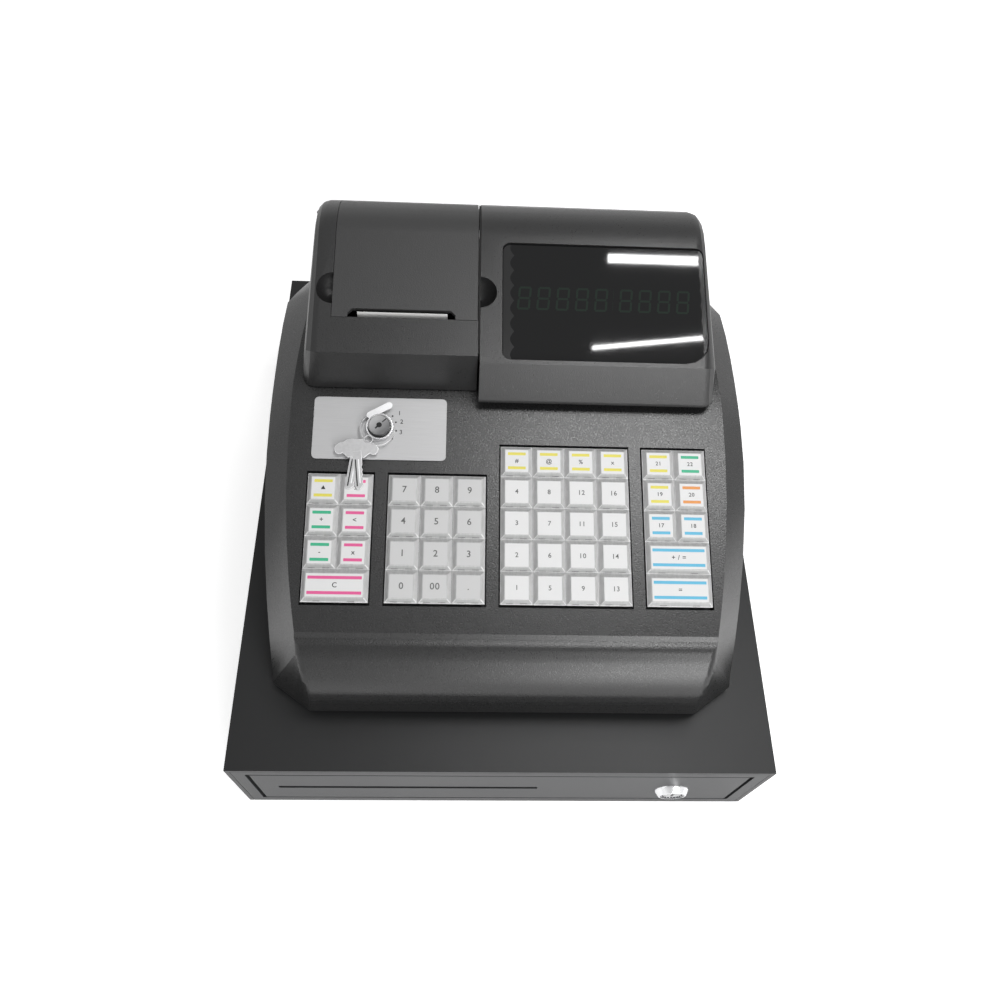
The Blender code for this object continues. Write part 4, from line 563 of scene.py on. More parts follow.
lockCentre = panel @ Vector((lockSpot[0] * mm, lockSpot[1] * mm, 0))
looks = {
    "case": mouldedPlastic("caseMoulding", (0.011, 0.011, 0.0112), (0.02, 0.02, 0.0203), 0.31, 0.36),
    "cover": mouldedPlastic("coverMoulding", (0.024, 0.024, 0.0243), (0.038, 0.038, 0.0383), 0.42, 0.4),
    "hood": mouldedPlastic("hoodMoulding", (0.012, 0.012, 0.0122), (0.022, 0.022, 0.0223), 0.34, 0.36),
    "cabinet": powderCoat("cabinetPowder", (0.009, 0.0092, 0.0097), (0.017, 0.0174, 0.018), 0.4),
    "front": powderCoat("frontPowder", (0.03, 0.031, 0.0325), (0.048, 0.049, 0.051), 0.45),
    "tray": mouldedPlastic("trayMoulding", (0.018, 0.018, 0.019), (0.032, 0.032, 0.033), 0.4, 0.15),
    "inner": mouldedPlastic("innerMoulding", (0.035, 0.035, 0.036), (0.06, 0.06, 0.061), 0.5, 0.2),
    "steel": brushedMetal("zincSteel", (0.38, 0.38, 0.4), (0.6, 0.6, 0.62), 0.38, (300, 2600, 300)),
    "chrome": brightMetal("brightChrome", (0.9, 0.9, 0.91), (0.7, 0.7, 0.72), 0.24),
    "keySteel": brushedMetal(
        "keyNickel", (0.46, 0.46, 0.465), (0.6, 0.6, 0.605), 0.34, (500, 500, 500), 0.3
    ),
    "plate": brushedMetal(
        "brushedPlate", (0.44, 0.44, 0.445), (0.56, 0.56, 0.565), 0.42, (60, 4200, 4200), 0.25
    ),
    "turned": turnedMetal("turnedSteelShaded", lockCentre, 1 / cos(slope)),
    "barrel": lockBarrel("modeLockBarrelShaded", lockCentre, 1 / cos(slope)),
    # bright metal: the tag's own colour, and the painted highlight on the keys' sides and grooves
    "tagMetalAndGlint": brushedMetal("tagMetalAndGlint", (0.78, 0.78, 0.79), (0.9, 0.9, 0.91), 0.4, (900, 900, 900), 0.5),
    # near black for the lock barrel's side: its dark wall, with painted shade on it
    "barrelSideAndShade": powderCoat("barrelSideAndShade", (0.004, 0.004, 0.0042), (0.008, 0.008, 0.0083), 0.3),
    "rubber": softRubber(),
    "board": circuitBoard(),
    "paper": receiptStock(),
    "glass": displayGlass(),
    "clear": clearMoulding("clearMoulding", (0.46, 0.46, 0.46), (0.62, 0.62, 0.62), 0.3),
    # a darker copy of the clear look for the caps' front slopes: painted shade
    "shadedFrontSlope": clearMoulding("shadedFrontSlope", (0.38, 0.385, 0.382), (0.48, 0.485, 0.48), 0.3),
    # a lighter copy of the clear look for the caps' rims and edges: painted highlight
    "rim": clearMoulding("capRimHighlight", (0.62, 0.62, 0.62), (0.85, 0.85, 0.85), 0.25),
    "card": printedCard("whiteCard", (0.84, 0.84, 0.84), (0.8, 0.8, 0.8)),
    "greyCard": printedCard("greyCard", (0.67, 0.67, 0.67), (0.63, 0.63, 0.63)),
    "ink": printedCard("blackInk", (0.04, 0.04, 0.04), (0.06, 0.06, 0.06)),
    "greyInk": printedCard("greyInk", (0.13, 0.13, 0.13), (0.17, 0.17, 0.17)),
    "yellow": printedCard("yellowInk", (0.83, 0.76, 0.15), (0.8, 0.72, 0.13)),
    "pink": printedCard("pinkInk", (0.84, 0.15, 0.36), (0.8, 0.13, 0.33)),
    "green": printedCard("greenInk", (0.08, 0.52, 0.3), (0.07, 0.46, 0.27)),
    "blue": printedCard("blueInk", (0.16, 0.55, 0.78), (0.14, 0.5, 0.72)),
    "orange": printedCard("orangeInk", (0.85, 0.36, 0.12), (0.8, 0.33, 0.11)),
    "gap": darkGap(),
}
print("looks made:", len(looks))


# casings: merged copies of the solids with rounded edges
casings = {
    "case_top": ("case", "case_plastic", 0.0011),
    "case_bottom": ("case", "case_plastic", 0.0006),
    "printer_housing": ("hood", "hood_plastic", 0.0008),
    "display_housing": ("hood", "hood_plastic", 0.0009),
    "printer_cover": ("cover", "hood_plastic", 0.0005),
    "cabinet_cover": ("cabinet", "cabinet_paint", 0.0006),
    "cabinet_frame": ("front", "front_paint", 0.0006),
    "drawer_front": ("front", "front_paint", 0.0006),
    "drawer_pan": ("cabinet", "cabinet_paint", 0.0004),
    "cash_tray": ("tray", "tray_plastic", 0.0006),
    "display_window": ("glass", "window_gloss", 0.0005),
    "paper_roll": ("paper", "paper_white", 0.0004),
    "printer_mechanism": ("inner", "inner_plastic", 0.0004),
    "bill_clip_1": ("inner", "inner_plastic", 0.0003),
    "bill_clip_2": ("inner", "inner_plastic", 0.0003),
    "bill_clip_3": ("inner", "inner_plastic", 0.0003),
    "bill_clip_4": ("inner", "inner_plastic", 0.0003),
}
cornerPlan = {
    "front": -0.1395, "side": 0.113, "low": 0.11, "bend": (0.3, 1.2), "level": 0.8,
    "width": 0.006, "segments": 5,
}


def roundedCorners(casing):
    # the two front corners of the upper shell, rounded more than its other edges
    plan = cornerPlan
    casing.data.update()
    editing(casing, lambda: bpy.ops.mesh.select_all(action="DESELECT"))
    corners = casing.data.vertices
    least, most = plan["bend"]
    sides = {}
    for face in casing.data.polygons:
        for key in face.edge_keys:
            sides.setdefault(key, []).append(face.normal)
    for edge in casing.data.edges:
        start, end = [corners[each].co for each in edge.vertices]
        middle = (start + end) / 2
        normals = sides[edge.key]
        sharp = len(normals) == 2 and least < normals[0].angle(normals[1], 0) < most
        near = middle.y < plan["front"] and abs(middle.x) > plan["side"] and min(start.z, end.z) > plan["low"]
        level = abs((end - start).normalized().x) > plan["level"]
        edge.select = bool(near and sharp and not level)
    pickOnly(casing)
    bpy.ops.object.mode_set(mode="EDIT")
    bpy.ops.mesh.select_mode(type="EDGE")
    bpy.ops.mesh.bevel(offset=plan["width"], segments=plan["segments"], affect="EDGES", clamp_overlap=True)
    bpy.ops.object.mode_set(mode="OBJECT")


for node, (lookName, slotName, width) in casings.items():
    casing = castCopy(node, node + "_shell")
    if node == "case_top":
        roundedCorners(casing)
    softEdges(casing, width)
    smooth(casing)
    giveLook(casing, looks[lookName])
    stands(casing, node)
print("casings made:", len(casings))


# solids that keep their own mesh and only get a look
plainLooks = {
    "foot_front_left": "rubber",
    "foot_front_right": "rubber",
    "foot_rear_left": "rubber",
    "foot_rear_right": "rubber",
    "drawer_latch": "steel",
    "drawer_lock_core": "keySteel",
    "display_board": "board",
    "key_guide_plate": "inner",
    "receipt_paper": "paper",
}
for node, lookName in plainLooks.items():
    giveLook(nodes[node], looks[lookName])

# the main board is green, what stands on it is black
boardPlan = {"thick": 0.0019, "edge": 0.0002}
board = castCopy("main_board", "main_board_parts")
boardLow = min(vert.co.z for vert in board.data.vertices)
softEdges(board, boardPlan["edge"])
giveLook(board, looks["board"], looks["inner"])
paintFaces(board, 1, lambda middle, normal: middle.z > boardLow + boardPlan["thick"])
stands(board, "main_board")
print("other solids dressed:", len(plainLooks) + 1)


# keys: a clear cap over a printed card, with its print laid on the card, in millimetres
keyPlan = {
    "pitch": 20.5, "card": 15.2, "top": 3.0, "slopeFrom": 1.2, "rim": 0.42,
    "flange": 20.38, "flangeHeights": (-0.5, 0.62), "flangeEdge": 0.2,
    "front": 0.62, "frontHigh": 0.72, "frontEdge": 0.12,
    "stemReflection": 4.4, "stemReflectionShares": (-0.3, 0.28), "stemReflectionRows": (-9.62, -9.34), "stemReflectionHigh": 1.22,
    "bar": 11.4, "doubleBar": 33, "barHigh": 1.9, "barCorner": 0.25, "barReach": 4.7,
    "barLift": 0.03, "signLift": 0.04, "bold": 0.011, "spread": 1.1, "arrow": 1.7,
}
keyBlocks = {"left": -106.25, "numbers": -45.4, "departments": 35.6, "right": 106.25}
signSizes = {"number": 5.9, "left": 4.4, "department": 4.3, "topRow": 3.9, "function": 3.6, "double": 4.2}
inkNames = (
    "clear", "rim", "card", "greyCard", "ink", "greyInk", "yellow", "pink", "green", "blue", "orange",
    "shadedFrontSlope",
)
keyInks = [looks[name] for name in inkNames]
inkNumber = {name: number for number, name in enumerate(inkNames)}


def inked(piece, ink):
    giveLook(piece, *keyInks)
    paintFaces(piece, inkNumber[ink], lambda middle, normal: True)
    return piece


def printedBar(width, ink):
    # a printed strip on a card, with its corners taken off
    startFresh()
    bpy.ops.mesh.primitive_plane_add(size=1, location=(0, 0, 0))
    bar = bpy.context.object
    bar.data.transform(Matrix.Diagonal((width * mm, keyPlan["barHigh"] * mm, 1, 1)))

    def trim():
        bpy.ops.mesh.select_all(action="SELECT")
        bpy.ops.mesh.bevel(offset=keyPlan["barCorner"] * mm, affect="VERTICES", segments=2)

    editing(bar, trim)
    bar.data.transform(Matrix.Translation((0, 0, (keyPlan["top"] + keyPlan["barLift"]) * mm)))
    return inked(bar, ink)


def printedSign(words, size, x, s, ink, height=keyPlan["top"] + keyPlan["signLift"]):
    startFresh()
    bpy.ops.object.text_add()
    sign = bpy.context.object
    sign.data.body = words
    sign.data.size = size * mm
    sign.data.align_x = "CENTER"
    sign.data.align_y = "CENTER"
    sign.data.resolution_u = 3
    sign.data.space_character = keyPlan["spread"]
    sign.data.offset = keyPlan["bold"] * size * mm
    pickOnly(sign)
    bpy.ops.object.convert(target="MESH")
    sign = bpy.context.object
    sign.data.transform(Matrix.Translation((x * mm, s * mm, height * mm)))
    return inked(sign, ink)


def printedArrow(size, x, s, ink):
    startFresh()
    bpy.ops.mesh.primitive_circle_add(vertices=3, radius=size * mm, fill_type="NGON", location=(0, 0, 0))
    arrow = bpy.context.object
    height = keyPlan["top"] + keyPlan["signLift"]
    arrow.data.transform(Matrix.Translation((x * mm, s * mm, height * mm)))
    return inked(arrow, ink)


def keyFlange(width):
    # the thin clear rim round the foot of a cap, with its front edge painted bright as a painted highlight,
    # and two small dark dashes, a painted reflection of the stem
    plan = keyPlan
    half = plan["flange"] / 2
    side = half + (width - plan["card"]) / 2
    low, high = plan["flangeHeights"]
    flange = plateOf("cap_flange", oblong(-side, side, -half, half), low, high, plan["flangeEdge"])
    front = oblong(-side, side, -half, plan["front"] - half)
    edge = plateOf("cap_edge_highlight", front, low, plan["frontHigh"], plan["frontEdge"])
    pieces = [inked(flange, "clear"), inked(edge, "rim")]
    # two small dark dashes near the front: a painted reflection of the key's stem
    for share in plan["stemReflectionShares"]:
        left = share * width - plan["stemReflection"] / 2
        strip = oblong(left, left + plan["stemReflection"], *plan["stemReflectionRows"])
        stemReflection = plateOf("cap_stem_reflection", strip, plan["stemReflectionHigh"], plan["stemReflectionHigh"])
        pieces.append(inked(stemReflection, "greyInk"))
    return joined(*pieces)


def keyCap(node, card, prints, cells):
    # prints lie in the panel's frame, and cells give the place and width of each cap
    out = panel.to_3x3() @ Vector((0, 0, 1))
    upSlope = panel.to_3x3() @ Vector((0, 1, 0))
    cap = castCopy(node, node + "_cap")
    giveLook(cap, *keyInks)
    softEdges(cap, keyPlan["rim"] * mm, angle=20, material=1)
    back = panel.inverted()

    def onCard(middle, normal):
        return normal.dot(out) > 0.999 and (back @ middle).z > (keyPlan["top"] - 0.1) * mm

    # the front slopes, turned away from the light, get the darker copy of the clear look: painted shade
    def onFront(middle, normal):
        leans = normal.dot(upSlope) < -0.5 and normal.dot(out) > 0.3
        return leans and (back @ middle).z > keyPlan["slopeFrom"] * mm

    # bevels at the caps' front corners take the lighter rim look, a painted highlight; the other bevels stay
    # clear
    def onCorner(normal):
        return normal.dot(upSlope) < -0.2 and abs(normal.x) > 0.2

    for face in cap.data.polygons:
        if face.material_index == 1:
            face.material_index = inkNumber["rim" if onCorner(face.normal) else "clear"]
        elif onFront(face.center, face.normal):
            face.material_index = inkNumber["shadedFrontSlope"]
    paintFaces(cap, inkNumber[card], onCard)
    smooth(cap, angle=25)
    extra = prints + [copyOf(keyFlange, onPanel(x, s), width) for x, s, width in cells]
    for each in extra:
        settle(each, panel)
    joined(cap, *extra)
    stands(cap, node)


def striped(x, s, ink, width=keyPlan["bar"]):
    reach = keyPlan["barReach"]
    return [copyOf(printedBar, onPanel(x, s + shift), width, ink) for shift in (-reach, reach)]


# each number key has its words, its column and its row
numberSigns = {
    "key_0": ("0", 0, 0), "key_00": ("00", 1, 0), "key_point": (".", 2, 0),
    "key_1": ("1", 0, 1), "key_2": ("2", 1, 1), "key_3": ("3", 2, 1),
    "key_4": ("4", 0, 2), "key_5": ("5", 1, 2), "key_6": ("6", 2, 2),
    "key_7": ("7", 0, 3), "key_8": ("8", 1, 3), "key_9": ("9", 2, 3),
}
for node, (words, column, row) in numberSigns.items():
    x = keyBlocks["numbers"] + (column - 1) * keyPlan["pitch"]
    s = row * keyPlan["pitch"]
    sign = printedSign(words, signSizes["number"], x, s, "greyInk")
    keyCap(node, "greyCard", [sign], [(x, s, keyPlan["card"])])

# each key of the left block has its column from the block's middle, its row, its ink and its sign
doubleCard = keyPlan["card"] + keyPlan["pitch"]
leftKeys = {
    "key_clear": (0, 0, "pink", "C"),
    "key_paid_out": (-0.5, 1, "green", "-"),
    "key_void": (0.5, 1, "pink", "x"),
    "key_received": (-0.5, 2, "green", "+"),
    "key_return": (0.5, 2, "pink", "<"),
    "key_second": (0.5, 3, "pink", ">"),
}
for node, (column, row, ink, words) in leftKeys.items():
    x = keyBlocks["left"] + column * keyPlan["pitch"]
    s = row * keyPlan["pitch"]
    width, bar = (keyPlan["card"], keyPlan["bar"]) if column else (doubleCard, keyPlan["doubleBar"])
    prints = striped(x, s, ink, bar) + [printedSign(words, signSizes["left"], x, s, "ink")]
    keyCap(node, "card", prints, [(x, s, width)])
feedX = keyBlocks["left"] - keyPlan["pitch"] / 2
feedS = 3 * keyPlan["pitch"]
feedPrints = striped(feedX, feedS, "yellow") + [printedArrow(keyPlan["arrow"], feedX, feedS, "ink")]
keyCap("key_paper_feed", "card", feedPrints, [(feedX, feedS, keyPlan["card"])])

for row in range(5):
    prints = []
    cells = []
    for column in range(4):
        x = keyBlocks["departments"] + (column - 1.5) * keyPlan["pitch"]
        s = row * keyPlan["pitch"]
        cells.append((x, s, keyPlan["card"]))
        if row < 4:
            number = str(4 * column + row + 1)
            prints.append(printedSign(number, signSizes["department"], x, s, "greyInk"))
        else:
            prints += striped(x, s, "yellow")
            prints.append(printedSign("#@%x"[column], signSizes["topRow"], x, s, "ink"))
    keyCap("department_keys_row_" + str(row + 1), "card", prints, cells)

functionKeys = {
    1: (("blue", "17"), ("blue", "18")),
    2: (("yellow", "19"), ("orange", "20")),
    3: (("yellow", "21"), ("green", "22")),
}
for row, pair in functionKeys.items():
    prints = []
    cells = []
    for side, (ink, words) in zip((-1, 1), pair):
        x = keyBlocks["right"] + side * keyPlan["pitch"] / 2
        s = (row + 1) * keyPlan["pitch"]
        prints += striped(x, s, ink)
        prints.append(printedSign(words, signSizes["function"], x, s, "ink"))
        cells.append((x, s, keyPlan["card"]))
    keyCap("function_keys_row_" + str(row), "card", prints, cells)
for row, (node, words) in enumerate((("key_cash", "="), ("key_subtotal", "+ / ="))):
    x = keyBlocks["right"]
    s = row * keyPlan["pitch"]
    prints = striped(x, s, "blue", keyPlan["doubleBar"])
    prints.append(printedSign(words, signSizes["double"], x, s, "ink"))
    keyCap(node, "card", prints, [(x, s, doubleCard)])
print("keys made")


# name plate with its collar, and the plain marks round the lock, in millimetres
platePlan = {
    "edge": 0.3, "collar": 9.5, "collarFrom": 1.25, "printHigh": 1.13,
    "dot": 0.62, "dots": ((-75.3, 111.2), (-73.0, 107.0), (-72.6, 101.2), (-75.0, 95.8)),
    "numberSize": 4.1, "numbers": {"1": (-70.9, 113.2), "2": (-69.3, 107.4), "3": (-69.6, 100.2)},
}
plate = castCopy("name_plate", "name_plate_sheet")
giveLook(plate, looks["plate"], looks["chrome"])
softEdges(plate, platePlan["edge"] * mm)
backToPanel = panel.inverted()


def onCollar(middle, normal):
    place = (backToPanel @ middle) / mm
    return place.z > platePlan["collarFrom"] and (place.xy - Vector(lockSpot)).length < platePlan["collar"]


def plateDot():
    startFresh()
    bpy.ops.mesh.primitive_circle_add(
        vertices=16, radius=platePlan["dot"] * mm, fill_type="NGON", location=(0, 0, 0),
    )
    dot = bpy.context.object
    dot.data.transform(Matrix.Translation((0, 0, platePlan["printHigh"] * mm)))
    return inked(dot, "ink")


paintFaces(plate, 1, onCollar)
smooth(plate)
stands(plate, "name_plate")
marks = [copyOf(plateDot, onPanel(x, s)) for x, s in platePlan["dots"]]
for words, (x, s) in platePlan["numbers"].items():
    marks.append(printedSign(words, platePlan["numberSize"], x, s, "ink", platePlan["printHigh"]))
for mark in marks:
    settle(mark, panel)
plateMarks = joined(*marks)
plateMarks.name = "plate_marks"
added(plateMarks, "register")
print("plate made")


# mode lock: a dark barrel with a sunk face and painted shading, a keyhole with its slit, and the slit's outer
# end, these three being dark plates of painted shade, in millimetres
lockPlan = {
    "turn": -45, "barrel": ((7.2, -15.9), (7.2, 7.5), (7.0, 7.85), (6.7, 7.95), (6.5, 7.8), (6.4, 7.6)),
    "keyhole": ((1.75, 7.62), (1.6, 7.7)), "face": 7.61,
    "slit": oblong(-0.5, 0.5, -3.4, 1.2), "slitHigh": 7.72,
    "slitEnd": oblong(-0.3, 0.3, 2.6, 6.2), "slitEndHigh": 7.75,
}
barrel = turnedPiece("lock_barrel", lockPlan["barrel"], segments=48)
smooth(barrel, angle=40)
giveLook(barrel, looks["barrel"], looks["barrelSideAndShade"])
# the barrel's side faces are painted near black: the dark wall, with painted shade
paintFaces(barrel, 1, lambda middle, normal: normal.z < 0.6)
# the keyhole, its slit and the slit's outer end are thin dark plates on the face: painted shade for the
# openings
sunk = [
    turnedPiece("lock_keyhole", lockPlan["keyhole"], segments=24),
    plateOf("lock_slit", lockPlan["slit"], lockPlan["face"], lockPlan["slitHigh"]),
    plateOf("lock_slit_end", lockPlan["slitEnd"], lockPlan["face"], lockPlan["slitEndHigh"]),
]
for each in sunk:
    giveLook(each, looks["gap"])
    each.data.transform(Matrix.Rotation(radians(lockPlan["turn"]), 4, "Z"))
joined(barrel, *sunk)
settle(barrel, panel @ onPanel(*lockSpot))
stands(barrel, "mode_lock")
print("mode lock made")


# ring of keys: two coils, a small link, a flat tag, and two keys under one bow, each groove drawn as a dark
# strip of painted shade and a bright strip of painted highlight, in millimetres
ringPlan = {
    "hang": 43, "shift": 2.1,
    "coils": ((11.1, 0.42, 0, 3.95, 0), (10.85, 0.336, 0.2, 4.4, 1.2)),
    "link": (2.6, 0.5), "linkShift": (7.2, 6.2), "linkHigh": 4.3,
    "bow": (-97.0, 87.7), "bowHeights": (3.42, 4.55), "bowEdge": 0.35,
    "fan": 7, "lift": 0.35, "bladeHeights": (3.45, 4.45), "edge": 0.22,
    "grooves": ((-1.2, -25.5, "gap"), (0.7, -23.5, "tagMetalAndGlint")), "groove": 0.8, "grooveTop": -7.5,
    "grooveHeights": (4.38, 4.5),
    "tagTurn": -60, "tagOut": 9.75, "tag": (4.5, -3.9, 14.3), "tagHeights": (4.66, 4.87), "tagEdge": 0.06,
}
# half of the bow, from its top round to its foot, and the whole of a blade
bowHalf = (
    (0, 5.9), (3.4, 6.4), (6.4, 5.6), (8.2, 4.1), (10.4, 3.6), (12.6, 2.2), (13.9, 0.2), (13.7, -2.2),
    (12.2, -3.9), (10.1, -4.2), (8.6, -3.2), (7.1, -4.5), (5.4, -6.2),
)
bladeOutline = (
    (-2.9, -2), (-2.9, -24.6), (-1.6, -27), (0.2, -27.3), (1.4, -26), (2.9, -24.4), (2.2, -22.6),
    (2.9, -21), (2.0, -19.4), (2.9, -17.7), (2.3, -16), (2.9, -14.4), (2.1, -12.8), (2.9, -11), (2.9, -2),
)
ringLooks = ("keySteel", "gap", "tagMetalAndGlint")


def hoop(radius, wire, x, s, height, tilt=0):
    startFresh()
    bpy.ops.mesh.primitive_torus_add(
        major_radius=radius * mm, minor_radius=wire * mm, major_segments=56, minor_segments=12,
        location=(0, 0, 0),
    )
    ring = bpy.context.object
    ring.data.transform(Matrix.Rotation(radians(tilt), 4, "Y"))
    ring.data.transform(Matrix.Translation((x * mm, s * mm, height * mm)))
    smooth(ring, angle=60)
    return giveLook(ring, *[looks[name] for name in ringLooks])


def keyPlate(name, outline, heights, topLook, edge=0, place=None):
    # a cut plate with one look on its top and sides painted bright, a painted highlight
    plate = plateOf(name, outline, *heights, edge)
    if place is not None:
        plate.data.transform(place)
    smooth(plate, angle=30)
    giveLook(plate, *[looks[name] for name in ringLooks])
    top = ringLooks.index(topLook)
    for face in plate.data.polygons:
        face.material_index = top if face.normal.z > 0.95 else ringLooks.index("tagMetalAndGlint")
    return plate


def roundEnded(width, low, high, steps=6):
    # a strip with half round ends
    half = width / 2
    turns = [pi * step / steps for step in range(steps + 1)]
    top = [(half * cos(turn), high - half + half * sin(turn)) for turn in turns]
    bottom = [(-half * cos(turn), low + half - half * sin(turn)) for turn in turns]
    return top + bottom


def keyBlade():
    plan = ringPlan
    pieces = [keyPlate("key_blade", bladeOutline, plan["bladeHeights"], "keySteel", plan["edge"])]
    # each groove is a thin strip on the blade: the dark one painted shade, the bright one painted highlight
    for across, low, lookName in plan["grooves"]:
        strip = roundEnded(plan["groove"], low, plan["grooveTop"], steps=4)
        strip = [(x + across, s) for x, s in strip]
        pieces.append(keyPlate("key_groove", strip, plan["grooveHeights"], lookName))
    return joined(*pieces)


hang = radians(ringPlan["hang"])
ringX = lockSpot[0] - ringPlan["shift"] * sin(hang)
ringS = lockSpot[1] - ringPlan["shift"] * cos(hang)
ringParts = []
for radius, wire, out, height, tilt in ringPlan["coils"]:
    ringParts.append(hoop(radius, wire, ringX + out, ringS, height, tilt))
bowX, bowS = ringPlan["bow"]
linkX, linkS = ringPlan["linkShift"]
ringParts.append(hoop(*ringPlan["link"], bowX + linkX, bowS + linkS, ringPlan["linkHigh"]))
bowOutline = [(x, s) for x, s in bowHalf] + [(-x, s) for x, s in reversed(bowHalf[1:])]
ringParts.append(keyPlate(
    "key_bow", bowOutline, ringPlan["bowHeights"], "keySteel", ringPlan["bowEdge"], onPanel(bowX, bowS),
))
for turn, lift in ((-ringPlan["fan"], 0), (ringPlan["fan"], ringPlan["lift"])):
    lifted = Matrix.Translation((0, 0, lift * mm))
    ringParts.append(copyOf(keyBlade, lifted @ onPanel(bowX, bowS, turn)))
tagPlace = onPanel(*lockSpot, ringPlan["tagTurn"]) @ onPanel(-ringPlan["tagOut"], 0)
tagOutline = roundEnded(*ringPlan["tag"])
ringParts.append(keyPlate(
    "key_tag", tagOutline, ringPlan["tagHeights"], "tagMetalAndGlint", ringPlan["tagEdge"], tagPlace,
))
ringOfKeys = joined(*ringParts)
ringOfKeys.name = "ring_of_keys"
settle(ringOfKeys, panel)
stands(ringOfKeys, "mode_keys")
print("ring of keys made")


# drawer lock: a turned bezel with flutes inside its rim, and two plain marks beside it, in millimetres
drawerLockPlan = {
    "place": (117.0, -200.0, 48.0),
    "bezel": (
        (8.5, -11.5), (8.5, -0.4), (11.45, -0.35), (11.5, 0.5), (11.2, 1.6), (9.4, 4.75), (8.9, 4.98),
        (8.3, 4.9), (8.1, 4.2), (7.9, 1.9), (6.15, 1.7),
    ),
    "throat": 8.4, "throatHeights": (1.8, 4.6),
    "flutes": 22, "flute": ((-0.4, 7.3), (0.4, 7.3), (0.42, 8.3), (-0.42, 8.3)),
    "fluteHeights": (1.6, 4.4), "fluteEdge": 0.2,
    "markPlace": (0, -200.05, 48.5),
    "marks": {
        95.4: (
            (-2.4, -0.35), (0.6, -0.35), (0.9, -0.9), (2.4, -0.6),
            (2.4, 0.6), (0.9, 0.9), (0.6, 0.35), (-2.4, 0.35),
        ),
        135.6: ((-2.2, -0.6), (-1.2, -0.2), (0.9, -0.2), (2.2, -0.6), (1.4, 0.5), (-1.2, 0.6)),
    },
}


def onFrontFace(place):
    # a place on the drawer's front, facing out of it
    return Matrix.Translation([each * mm for each in place]) @ Matrix.Rotation(pi / 2, 4, "X")


bezel = turnedPiece("drawer_lock_ring", drawerLockPlan["bezel"], segments=66)
lockFront = onFrontFace(drawerLockPlan["place"])
bezel.data.transform(lockFront)
smooth(bezel, angle=35)
giveLook(bezel, looks["chrome"], looks["turned"])
throat = lockFront.inverted()


def inThroat(middle, normal):
    place = (throat @ middle) / mm
    low, high = drawerLockPlan["throatHeights"]
    return place.xy.length < drawerLockPlan["throat"] and low < place.z < high


def bezelFlute():
    plan = drawerLockPlan
    flute = plateOf("flute", plan["flute"], *plan["fluteHeights"], plan["fluteEdge"])
    return giveLook(flute, looks["chrome"])


# the bezel's throat takes the darker turned metal: painted shade inside the recess, with turning marks
paintFaces(bezel, 1, inThroat)
fluteCount = drawerLockPlan["flutes"]
turns = [Matrix.Rotation(2 * pi * number / fluteCount, 4, "Z") for number in range(fluteCount)]
joined(bezel, *[copyOf(bezelFlute, lockFront @ turn) for turn in turns])
stands(bezel, "drawer_lock_bezel")
marks = []
for x, outline in drawerLockPlan["marks"].items():
    mark = plateOf("drawer_mark", outline, 0, 0)
    giveLook(mark, looks["ink"])
    mark.data.transform(onFrontFace(drawerLockPlan["markPlace"]) @ onPanel(x, 0))
    marks.append(mark)
drawerMarks = joined(*marks)
drawerMarks.name = "drawer_marks"
added(drawerMarks, "drawer")
for master in masters.values():
    bpy.data.objects.remove(master)
print("drawer lock made")


# dark tongue inside the seam between the two housings, painted shade for the gap, in millimetres
seamPlan = {
    "left": -21.35, "right": -20.35, "sunk": 0.4, "depth": 7.0, "front": 28, "rear": 158, "steps": 15,
    "edge": 0.15, "rollY": 119.8, "rollZ": 206.25, "roll": 41.7,
}


def hoodTop(y, sunk):
    # the height a little under the roof's surface, up the slope and then round the roll
    roll = seamPlan["roll"] - sunk
    fromCentre = y - seamPlan["rollY"]
    if fromCentre < -roll * sin(slope):
        return roofFoot[2] / mm + slant * (y - roofFoot[1] / mm) - sunk / cos(slope)
    return seamPlan["rollZ"] + max(roll ** 2 - fromCentre ** 2, 0) ** 0.5


length = seamPlan["rear"] - seamPlan["front"]
seamSteps = [seamPlan["front"] + length * step / seamPlan["steps"] for step in range(seamPlan["steps"] + 1)]
upper = [(y, hoodTop(y, seamPlan["sunk"])) for y in seamSteps]
lower = [(y, hoodTop(y, seamPlan["sunk"] + seamPlan["depth"])) for y in reversed(seamSteps)]
tongue = plateOf("seam_shade_tongue", upper + lower, seamPlan["left"], seamPlan["right"], seamPlan["edge"])
# the outline's first measure turns to depth, its second to height, and the plate's thickness to width
tongue.data.transform(Matrix(((0, 0, 1, 0), (1, 0, 0, 0), (0, 1, 0, 0), (0, 0, 0, 1))))
giveLook(tongue, looks["gap"])
added(tongue, "register")
print("seam made")


# floor, light and camera
stagePlan = {
    "size": 12, "height": -0.0005, "light": (0.86, 0.86, 0.86), "dark": (0.84, 0.84, 0.84),
    "seen": 0.72, "farSeen": 0.14, "mirrored": 0.5, "farFrom": 0.6, "farShare": 0.8,
}
skyPlan = {"around": 0.15, "ceiling": 0.6, "from": 0.3, "share": 2.5}


def whiteStage():
    # a pale floor that a look at it, a reflection and clear glass see as nearly white
    plan = stagePlan
    look = Look("whiteStage", Roughness=0.9, Specular_IOR_Level=0.1, Emission_Strength=1)
    grain = look.noise(20, 2)
    reach = (look.x * look.x + look.y * look.y) ** 0.5
    far = look.clamped((reach - plan["farFrom"]) * plan["farShare"])
    mirrored = look.rays("Glossy") + look.rays("Transmission")
    share = look.rays("Camera") * (plan["seen"] + plan["farSeen"] * far) + mirrored * plan["mirrored"]
    look.set(
        Base_Color=look.mix(grain, plan["light"], plan["dark"]),
        Emission_Color=look.mix(look.clamped(share), (0, 0, 0), (1, 1, 1)),
    )
    return look.material


startFresh()
bpy.ops.mesh.primitive_plane_add(size=stagePlan["size"], location=(0, 0, stagePlan["height"]))
floor = bpy.context.object
floor.name = "studio_floor"
giveLook(floor, whiteStage())

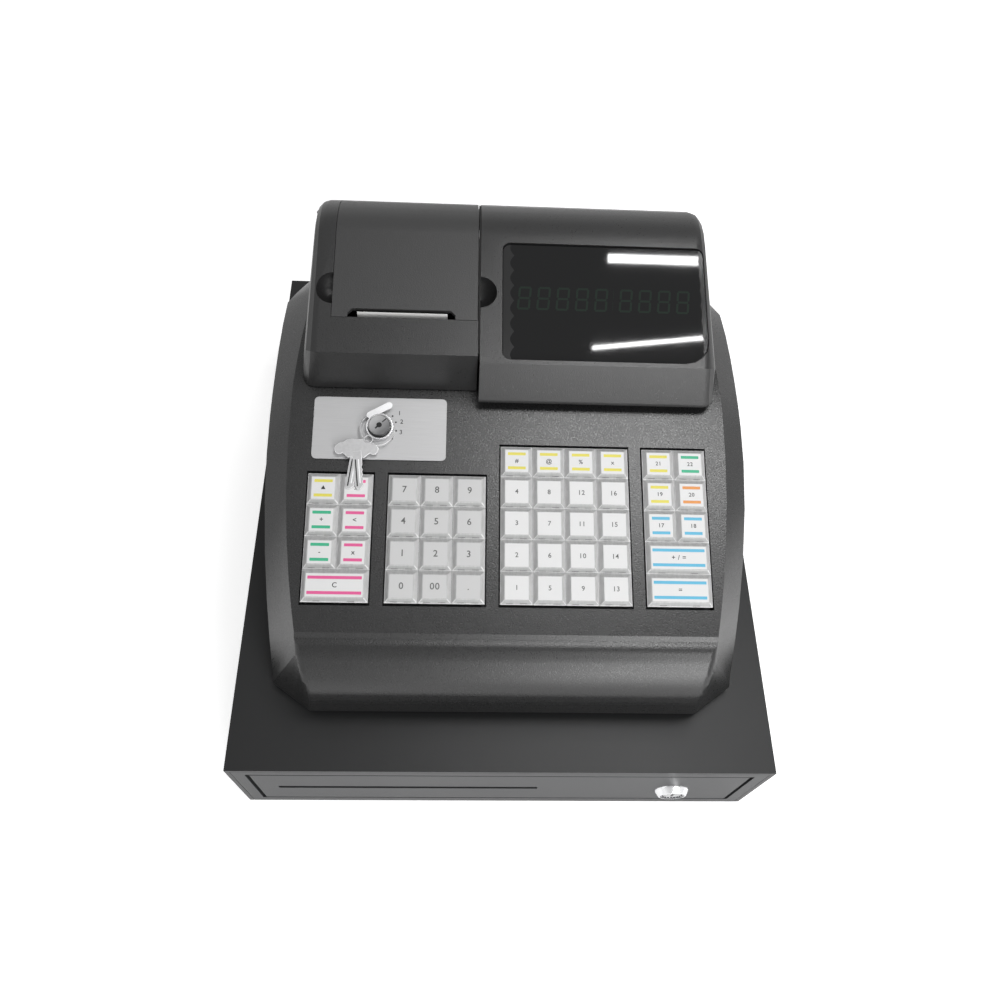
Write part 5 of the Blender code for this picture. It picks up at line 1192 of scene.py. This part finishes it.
# the world is white near the horizon and darker overhead, and dim where it lights the object
world = bpy.data.worlds.new("studio")
bpy.context.scene.world = world
world.use_nodes = True
sky = NodeWork(world.node_tree)
background = world.node_tree.nodes["Background"]
high = sky.clamped((sky.z - skyPlan["from"]) * skyPlan["share"])
seen = 1 - high * (1 - skyPlan["ceiling"])
direct = sky.seenDirectly()
sky.fit(direct * seen + (1 - direct) * skyPlan["around"], background.inputs["Strength"])
background.inputs["Color"].default_value = (1, 1, 1, 1)

# the strips hang level, the wide lamps are aimed
lamps = {
    "keySoft": {"place": (0.33, 0.09, 1.4), "size": (0.6, 0.28), "power": 5.4},
    "frontHigh": {"place": (0.62, -0.95, 1.15), "aim": (0.05, -0.15, 0.15), "size": (0.6, 0.8), "power": 6},
    "frontSoft": {
        "place": (0.5, -1.35, 0.62), "aim": (0.05, -0.15, 0.15), "size": (0.75, 0.62), "power": 8.8,
    },
    "frontLow": {"place": (0.35, -1.4, 0.14), "aim": (0.05, -0.1, 0.15), "size": (0.6, 0.25), "power": 1.9},
    "leftFill": {"place": (-1.3, -0.3, 1.0), "aim": (0, -0.05, 0.1), "size": (0.5, 0.8), "power": 1.5},
    "upperStrip": {"place": (0.342, 0.472, 1.4), "size": (0.18, 0.017), "power": 0.95},
    "lowerStrip": {"place": (0.335, 0.307, 1.4), "size": (0.225, 0.008), "power": 0.6, "turn": 6.6},
}
for name, plan in lamps.items():
    lamp = bpy.data.lights.new(name, "AREA")
    lamp.shape = "RECTANGLE"
    lamp.size, lamp.size_y = plan["size"]
    lamp.energy = plan["power"]
    holder = bpy.data.objects.new(name, lamp)
    holder.location = plan["place"]
    if "aim" in plan:
        aim = Vector(plan["aim"]) - Vector(plan["place"])
        holder.rotation_euler = aim.to_track_quat("-Z", "Y").to_euler()
    else:
        holder.rotation_euler = (0, 0, radians(plan.get("turn", 0)))
    bpy.context.scene.collection.objects.link(holder)

cameraPlan = {
    "place": (-0.032336, -0.330612, 0.678722), "turn": (29.303, -2.8564, -0.3549),
    "lens": 32.7086, "sensor": 36, "near": 0.01,
}
lens = bpy.data.cameras.new("view")
lens.lens = cameraPlan["lens"]
lens.sensor_width = cameraPlan["sensor"]
lens.clip_start = cameraPlan["near"]
camera = bpy.data.objects.new("view", lens)
camera.location = cameraPlan["place"]
camera.rotation_euler = [radians(each) for each in cameraPlan["turn"]]
bpy.context.scene.collection.objects.link(camera)
bpy.context.scene.camera = camera
bpy.context.scene.view_settings.view_transform = "Standard"
print("studio made")
